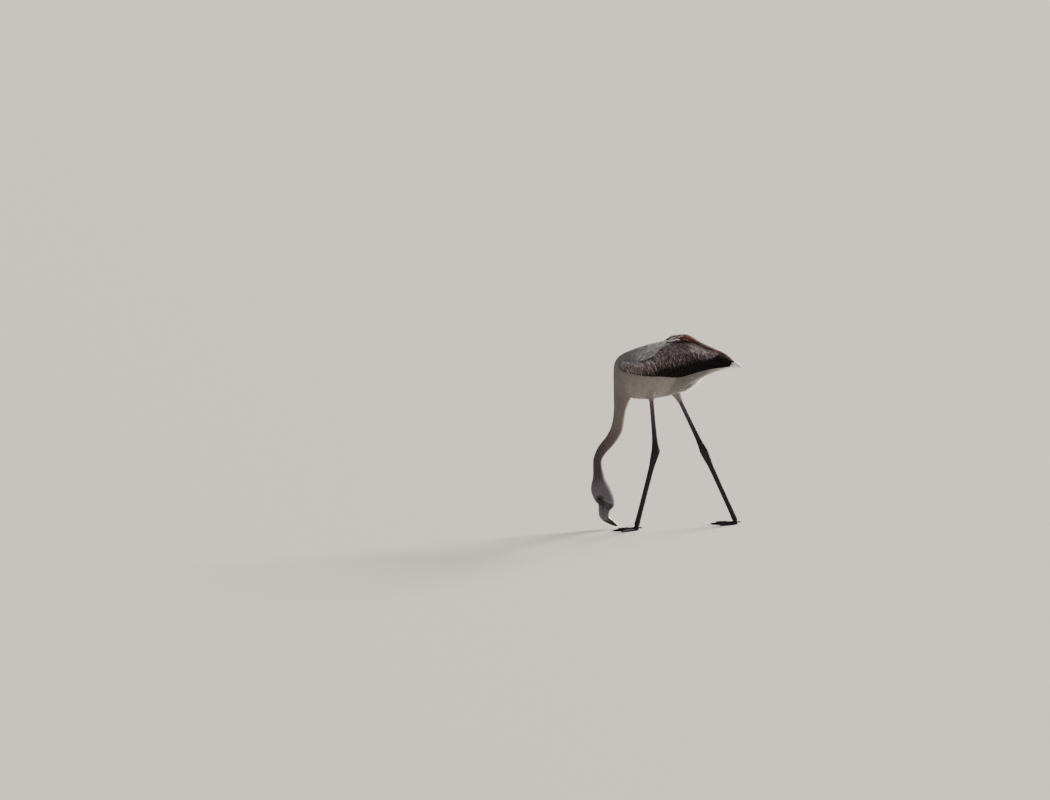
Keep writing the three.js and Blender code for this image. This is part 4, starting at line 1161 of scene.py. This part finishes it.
for side, name in SIDES.items():
    wing = wing_surface(side)
    # Secondaries: 16 long black vanes whose tips make the lower edge behind the middle, and a second layer
    # over them, nearer the upper edge, which closes the rear of the wing.
    n = np.arange(16)
    black = linear("0C090C") * varied(len(n), 0.08)[:, None]
    height = -2.2 + 0.09 * n
    groups = [flight_layer(wing, side, -118 + 11.5 * n, -0.55 + 0.012 * n, 8 + 11.8 * n, -0.93 + 0 * n, 0.06,
                           13 + 0 * n, height, 0.9, black, black * 1.25),
              flight_layer(wing, side, -60 + 13 * n, -0.2 + 0.02 * n, 60 + 9.3 * n, -0.45 + 0.02 * n, 0.04,
                           14 + 0 * n, height, 0.9, black, black * 1.3)]
    # Primaries: eight tips fanned slightly, the longest to the end of the wing, with rufous on the topmost.
    n = np.arange(8)
    tips = (np.array([196, 206, 212, 216, 218, 218, 218, 208]),
            np.array([-0.95, -0.93, -0.88, -0.7, -0.4, 0.0, 0.35, 0.75]))
    tint = linear("0C090C") * varied(len(n), 0.08)[:, None]
    fringe = tint * 1.3
    tint[-1], fringe[-1] = linear("6A4638") * 0.75, linear("6A4638") * 1.2
    groups.append(flight_layer(wing, side, 70 + 4.0 * n, -0.35 + 0.16 * n, *tips, 0.02, 11 - 0.5 * n,
                               -1.2 + 0.14 * n, 0.5, tint, fringe))
    feather_piece(f"flight_feathers_{name}", groups, vane_web)

    # Coverts in three tracts of rising size: greater, median, lesser, each over the one behind and below it.
    groups = []
    for first, last, floor, roof, count, long, wide, height in (
            (-176, 150, -0.95, 0.1, 300, 46, 6.4, -0.6), (-178, 166, -0.3, 0.75, 420, 36, 5.4, 0.3),
            (-178, 176, 0.1, 0.985, 640, 26, 4.2, 1.0)):
        x, c = even_roots(wing, first, last, floor, roof, count)
        edge = np.interp(x, *MANTLE_EDGE) + 0.25 + 0.6 * smoothly(-x, 118, 146)
        keep = (c < edge) & (c > np.interp(x, [-181, -60, 20, 110, 180], [-0.97, -0.8, -0.5, -0.35, -0.1]))
        x, c = x[keep], c[keep]
        number = len(x)
        turn = 0.07 * rng.normal(size=number) - np.radians(np.interp(x, [-180, -60, 40, 100, 140, 180],
                                                                     [52, 62, 60, 46, 28, 12]))
        length = long * varied(number, 0.1) * np.interp(x, [-180, -120, 0, 130], [0.6, 0.8, 1, 1.1])
        room = (c + 0.985) * HALF_CHORD / np.maximum(np.sin(-turn), 0.2)  # to the wing's lower edge
        length = np.clip(length, 6, np.maximum(room, 7))
        half = wide * varied(number, 0.1) * np.interp(x, [-180, -120, 0], [0.6, 0.8, 1])
        seen = 0.75 * length
        colours = covert_colours(x + seen * np.cos(turn), c + seen * np.sin(turn) / HALF_CHORD, number)
        tip = height + 0.12 * np.abs(rng.normal(size=number))
        groups.append(wing_group(wing, side, x, c, length, half, turn, height - 2.2, tip, *colours))
    # the wrist's edge is set with small white feathers
    count = 6
    x, c = even_roots(wing, -172, -163, 0.6, 0.95, count)
    white = mixed(rng.random(count), [0, 1], ["88888F", "BABCC4"])
    groups.append(wing_group(wing, side, x, c, 8 * varied(count, 0.1), 2.0 * varied(count, 0.1), -0.6 + 0 * x,
                             0.9, 2.6 + 0 * x, white, white))
    feather_piece(f"wing_coverts_{name}", groups, vane_web)

# Scapulars: broad grey feathers with pale edges that lie from the mantle back and up to the tertials.
groups = []
front, back = np.interp([-150, -2], spine[TRUNK, 0], from_face[TRUNK])
for side in SIDES:
    p, q = even_roots(dressed, front, back, *sorted((side * 0.06, side * 1.05)), 330)
    count = len(p)
    turn = -side * (0.05 + 0.38 * np.abs(q)) + 0.07 * rng.normal(size=count)
    size = np.interp(p, [front, front + 45], [0.5, 1])  # they are shorter in front
    line_p, line_q = straight(dressed, p, q, 44 * size * varied(count, 0.12), turn, LONG_VANE)
    half = 5.0 * size * varied(count, 0.12)
    out = -1.4 + (2.5 + 0.3 * np.abs(rng.normal(size=count)))[:, None] * LONG_VANE[:, 0]
    tint = mixed(rng.random(count), [0, 0.5, 1], ["8A8282", "BCB4B2", "D4CECC"])
    behind = smoothly(p, front, front + 40)[:, None]
    tint = blend(body_tint(p, q, dressed.point(p, q)), tint, behind)
    bold = (0.1 + 0.75 * (rng.random(count) < 0.45))[:, None] * (0.2 + 0.8 * behind)
    groups.append((*blades(dressed, line_p, line_q, half, LONG_VANE, out, 6, 0.25, 0.05), tint,
                   blend(tint, linear("E8E3DE"), bold), on_body_map(p, q)))
scapular_web = plumage("long_shoulder_feathers", 26, 0.8, 0.8, 0.1, False, -0.1, 0.98)
feather_piece("scapulars", groups, scapular_web)

# --------------------------------------------------------------------------------------------------
# The tertials: long rufous-brown inner wing feathers laid along the back, worn so that their barbs part into
# strands with ragged ends, over a darker layer.

STRAND = np.array([[0, 0.3], [0.15, 0.75], [0.4, 1], [0.65, 0.95], [0.84, 0.62], [0.95, 0.28], [1, 0.06]])
PAD_START, PAD_END = -16, 211


def pad_group(surface, side, x, c, line, half, form, out, tint, fringe):
    """A group of feathers on the pad of tertials, from the roots x and c along and across it."""
    line_p, line_q = line
    place = np.stack([PAD_AT + 0.04 * (x - PAD_START) / (PAD_END - PAD_START),
                      FOLDED_LOW[side] + FOLDED_SHARE * (c % FULL) / FULL], -1)
    vanes = blades(surface, line_p, np.clip(line_q, -2.3, 2.3), half, form, out, 4, 0.25, 0.05)
    return *vanes, tint, fringe, place


for side, name in SIDES.items():
    bend = np.linspace(-2.4, 2.4, 49)
    middle, s = tertial_middle(side, 160)
    pad = Surface(tertial_rings(side, bend, 0, 160), s[:, 0], bend, False, middle[:, None])
    groups = []
    for height, starts, ends, places_across, half_width in (
            (-1.6, [-14, -10, 0, 6, 20, 34, 52, 70, 90], [70, 80, 92, 104, 128, 150, 172, 190, 205],
             [-1.5, 1.5, -0.6, 0.8, 0.0, 1.2, 0.4, -0.3, 0.3], 11),
            (-0.8, [10, 24, 40, 58, 76, 96, 116], [102, 128, 150, 172, 188, 200, 208],
             [-1.2, -1.7, -1.1, -1.6, -1.0, -1.4, -1.0], 10),
            (-0.6, [14, 20, 30, 44, 58, 76, 96, 118], [92, 104, 120, 142, 164, 182, 198, 207],
             [1.3, -1.0, 0.3, 0.9, -0.2, 0.6, 0.1, 0.4], 9),
            (0.3, [4, 14, 26, 44, 66, 100], [64, 82, 104, 132, 168, 200],
             [0.5, -0.9, -0.2, 0.9, 0.2, 0.1], 6.5)):
        for x, end, c in zip(starts, ends, places_across):
            # one vane is thirteen strands side by side, which part towards their ragged ends
            aside = np.linspace(-1, 1, 13)
            count, t = len(aside), STRAND[:, 0]
            end_x = np.minimum(end + rng.uniform(-16, 6, count) - 6 * np.abs(aside), 208)
            line_p = x + (end_x - x)[:, None] * t
            across = aside * half_width / 15
            line_q = c * (1 - 0.25 * t) + across[:, None] * (0.5 + 0.5 * np.sin(np.pi * t * 0.8))
            line_q = line_q + 0.05 * rng.normal(size=(count, 1)) * t ** 2
            half = half_width * 0.2 * varied(count, 0.25)
            lift = np.clip(2.6 * np.abs(rng.normal(size=count)), 0, 5) * (end < 125)
            out = height + 0.5 * (1 - aside[:, None] ** 2) + lift[:, None] * t ** 3 - 2.4 * (1 - t) ** 3
            deepest = height < -1
            rust = np.interp(end, [70, 100, 118], [0.75, 0.8, 0.05]) * (0.35 if deepest else 1)
            edge = (end > 110) * (aside > 0.75) * (0.5 if deepest else 0.08)
            share = rust * rng.uniform(0.35, 1) + 0.13 * rng.normal(size=count) + edge
            share = np.clip(share * np.interp(x, [-14, 24], [0.35, 1]), 0, 1)[:, None]
            tint = blend(linear("33242A"), linear("AC7866"), share)
            fringe = tint * 0.95 + linear("B48C7A") * (0.05 + 0.3 * share)
            roots = np.full(count, x), np.full(count, c)
            groups.append(pad_group(pad, side, *roots, (line_p, line_q), half, STRAND, out, tint, fringe))
    # loose worn tips stand up from the crest; the cream of those in front is a painted highlight of the light
    # from behind on their ends
    front, rear = 12, 38
    count = front + rear
    x = np.concatenate([rng.uniform(-13, 3, front), rng.uniform(6, 66, rear)])
    c = np.concatenate([rng.uniform(-0.5, 1.2, front), rng.uniform(-1.4, 1.2, rear)])
    long = np.interp(x, [0, 6], [26, 38]) * varied(count, 0.2)
    line = straight(pad, x, c, long, 0.22 * rng.normal(size=count), STRAND)
    half = np.interp(x, [0, 6], [2.2, 1.6]) * varied(count, 0.25)
    out = -0.5 + (0.5 + rng.uniform(2, 8, count))[:, None] * STRAND[:, 0] ** 2
    # painted highlight: cream at the front, then brown and rust further back
    tint = mixed(x + 8 * rng.normal(size=count), [-4, 6, 16, 50], ["EEE7DE", "8C7468", "573A36", "B87F6A"])
    groups.append(pad_group(pad, side, x, c, line, half, STRAND, out, tint, tint * 1.3))
    # grey-brown feathers of the mantle lie over their roots
    count = 90
    x, c = even_roots(pad, -15, 22, -1.9, 2.1, count)
    line = straight(pad, x, c, 30 * varied(count, 0.15), 0.12 * rng.normal(size=count), COVERT)
    half = 4.8 * varied(count, 0.12)
    out = -1.6 + (2.6 + 0.4 * np.abs(rng.normal(size=count)))[:, None] * COVERT[:, 0]
    tint = mixed(x + 6 * rng.normal(size=count), [-14, -4, 18], ["7C706C", "5A4643", "38292A"])
    groups.append(pad_group(pad, side, x, c, line, half, COVERT, out, tint, tint * 1.7))
    feather_piece(f"tertial_feathers_{name}", groups, vane_web)

# --------------------------------------------------------------------------------------------------
# The tail: short broad white feathers, twelve above and twelve below, stacked under the middle pair.

rings = tail_rings(turns(48), 0, 120)
tail = Surface(rings, np.linspace(0, 1, 120), turns(48), True, rings.mean(1)[:, None])
groups, count = [], 12
order, t = 1 - np.abs(np.linspace(-1, 1, count))[:, None], LONG_VANE[:, 0]
for start in (0.0, np.pi):
    line_p = 0.05 + (0.84 + 0.1 * order) * t
    line_q = start + np.linspace(-1.6, 1.6, count)[:, None] * (0.6 + 0.4 * t)
    tint = linear("E6E7EC") * varied(count, 0.03)[:, None]
    place = np.stack([WING_AT + 0.14 * line_p[:, 0], TAIL_LOW + 0.1 * (line_q[:, 0] / FULL % 1)], -1)
    out = -1.0 + 0.5 * order + 0.2 * t
    vanes = blades(tail, line_p, line_q, np.full(count, 4.4), LONG_VANE, out, 6, 0.5, 0.05)
    groups.append((*vanes, tint, tint * 0.97, place))
feather_piece("tail_feathers", groups, vane_web)

# --------------------------------------------------------------------------------------------------
# The stage: a plain pale floor, a large soft light from behind on the bird's right, a soft fill, and the
# camera far off to the bird's left, a little above its back.

FLOOR_SIZE = 240000
corners = np.array([[-1, -1, 0], [1, -1, 0], [1, 1, 0], [-1, 1, 0]]) * FLOOR_SIZE / 2
floor = mesh_piece("floor", corners + ORIGIN * [1, 1, 0], np.array([[0, 1, 2, 3]]))
paint, shader, _ = new_material("matt_floor_paint")
feed(shader, {"Base Color": "CAC9C5", "Roughness": 0.9})
floor.data.materials.append(paint)


def facing(way):
    """The turn of a lamp or a camera that looks along a direction."""
    return mathutils.Vector(way).to_track_quat("-Z", "Y").to_euler()


# the way each light shines, its spread in degrees, strength and colour
for name, way, spread, strength, colour in (("key", (-0.75, -0.59, -0.29), 30, 14.0, "FFF3E5"),
                                            ("fill", (0.35, 1.0, -0.55), 60, 0.3, "EEF3FF")):
    light = bpy.data.lights.new(name, "SUN")
    light.energy, light.angle, light.color = strength, np.radians(spread), linear(colour)
    lamp = bpy.data.objects.new(name, light)
    bpy.context.scene.collection.objects.link(lamp)
    lamp.rotation_euler = facing(way)

sky = bpy.data.worlds.new("studio")
sky.use_nodes = True
feed(sky.node_tree.nodes["Background"], {"Color": "E6E9F0", "Strength": 0.31})
bpy.context.scene.world = sky

CAMERA_RISE, CAMERA_TURN = np.radians(7.5), np.radians(8)  # above the horizon, and round to the bird's front
DISTANCE, FRAME_WIDTH = 36000, 3517.5  # from the bird, and what the frame spans there
WATER_LINE, AIM_RIGHT, AIM_UP = 80, -485.75, 348.4  # a height, and how far from it the camera aims
right_hand = np.array([np.cos(CAMERA_TURN), -np.sin(CAMERA_TURN), 0])
away = np.array([np.sin(CAMERA_TURN) * np.cos(CAMERA_RISE), np.cos(CAMERA_TURN) * np.cos(CAMERA_RISE),
                 -np.sin(CAMERA_RISE)])
target = UP * WATER_LINE + AIM_RIGHT * right_hand + AIM_UP * np.cross(right_hand, away)
lens = bpy.data.cameras.new("camera")
lens.sensor_width, lens.lens, lens.clip_end = 36, 36 * DISTANCE / FRAME_WIDTH, 1000
camera = bpy.data.objects.new("camera", lens)
bpy.context.scene.collection.objects.link(camera)
camera.location = (target - away * DISTANCE - ORIGIN) / 1000
camera.rotation_euler = facing(away)
bpy.context.scene.camera = camera
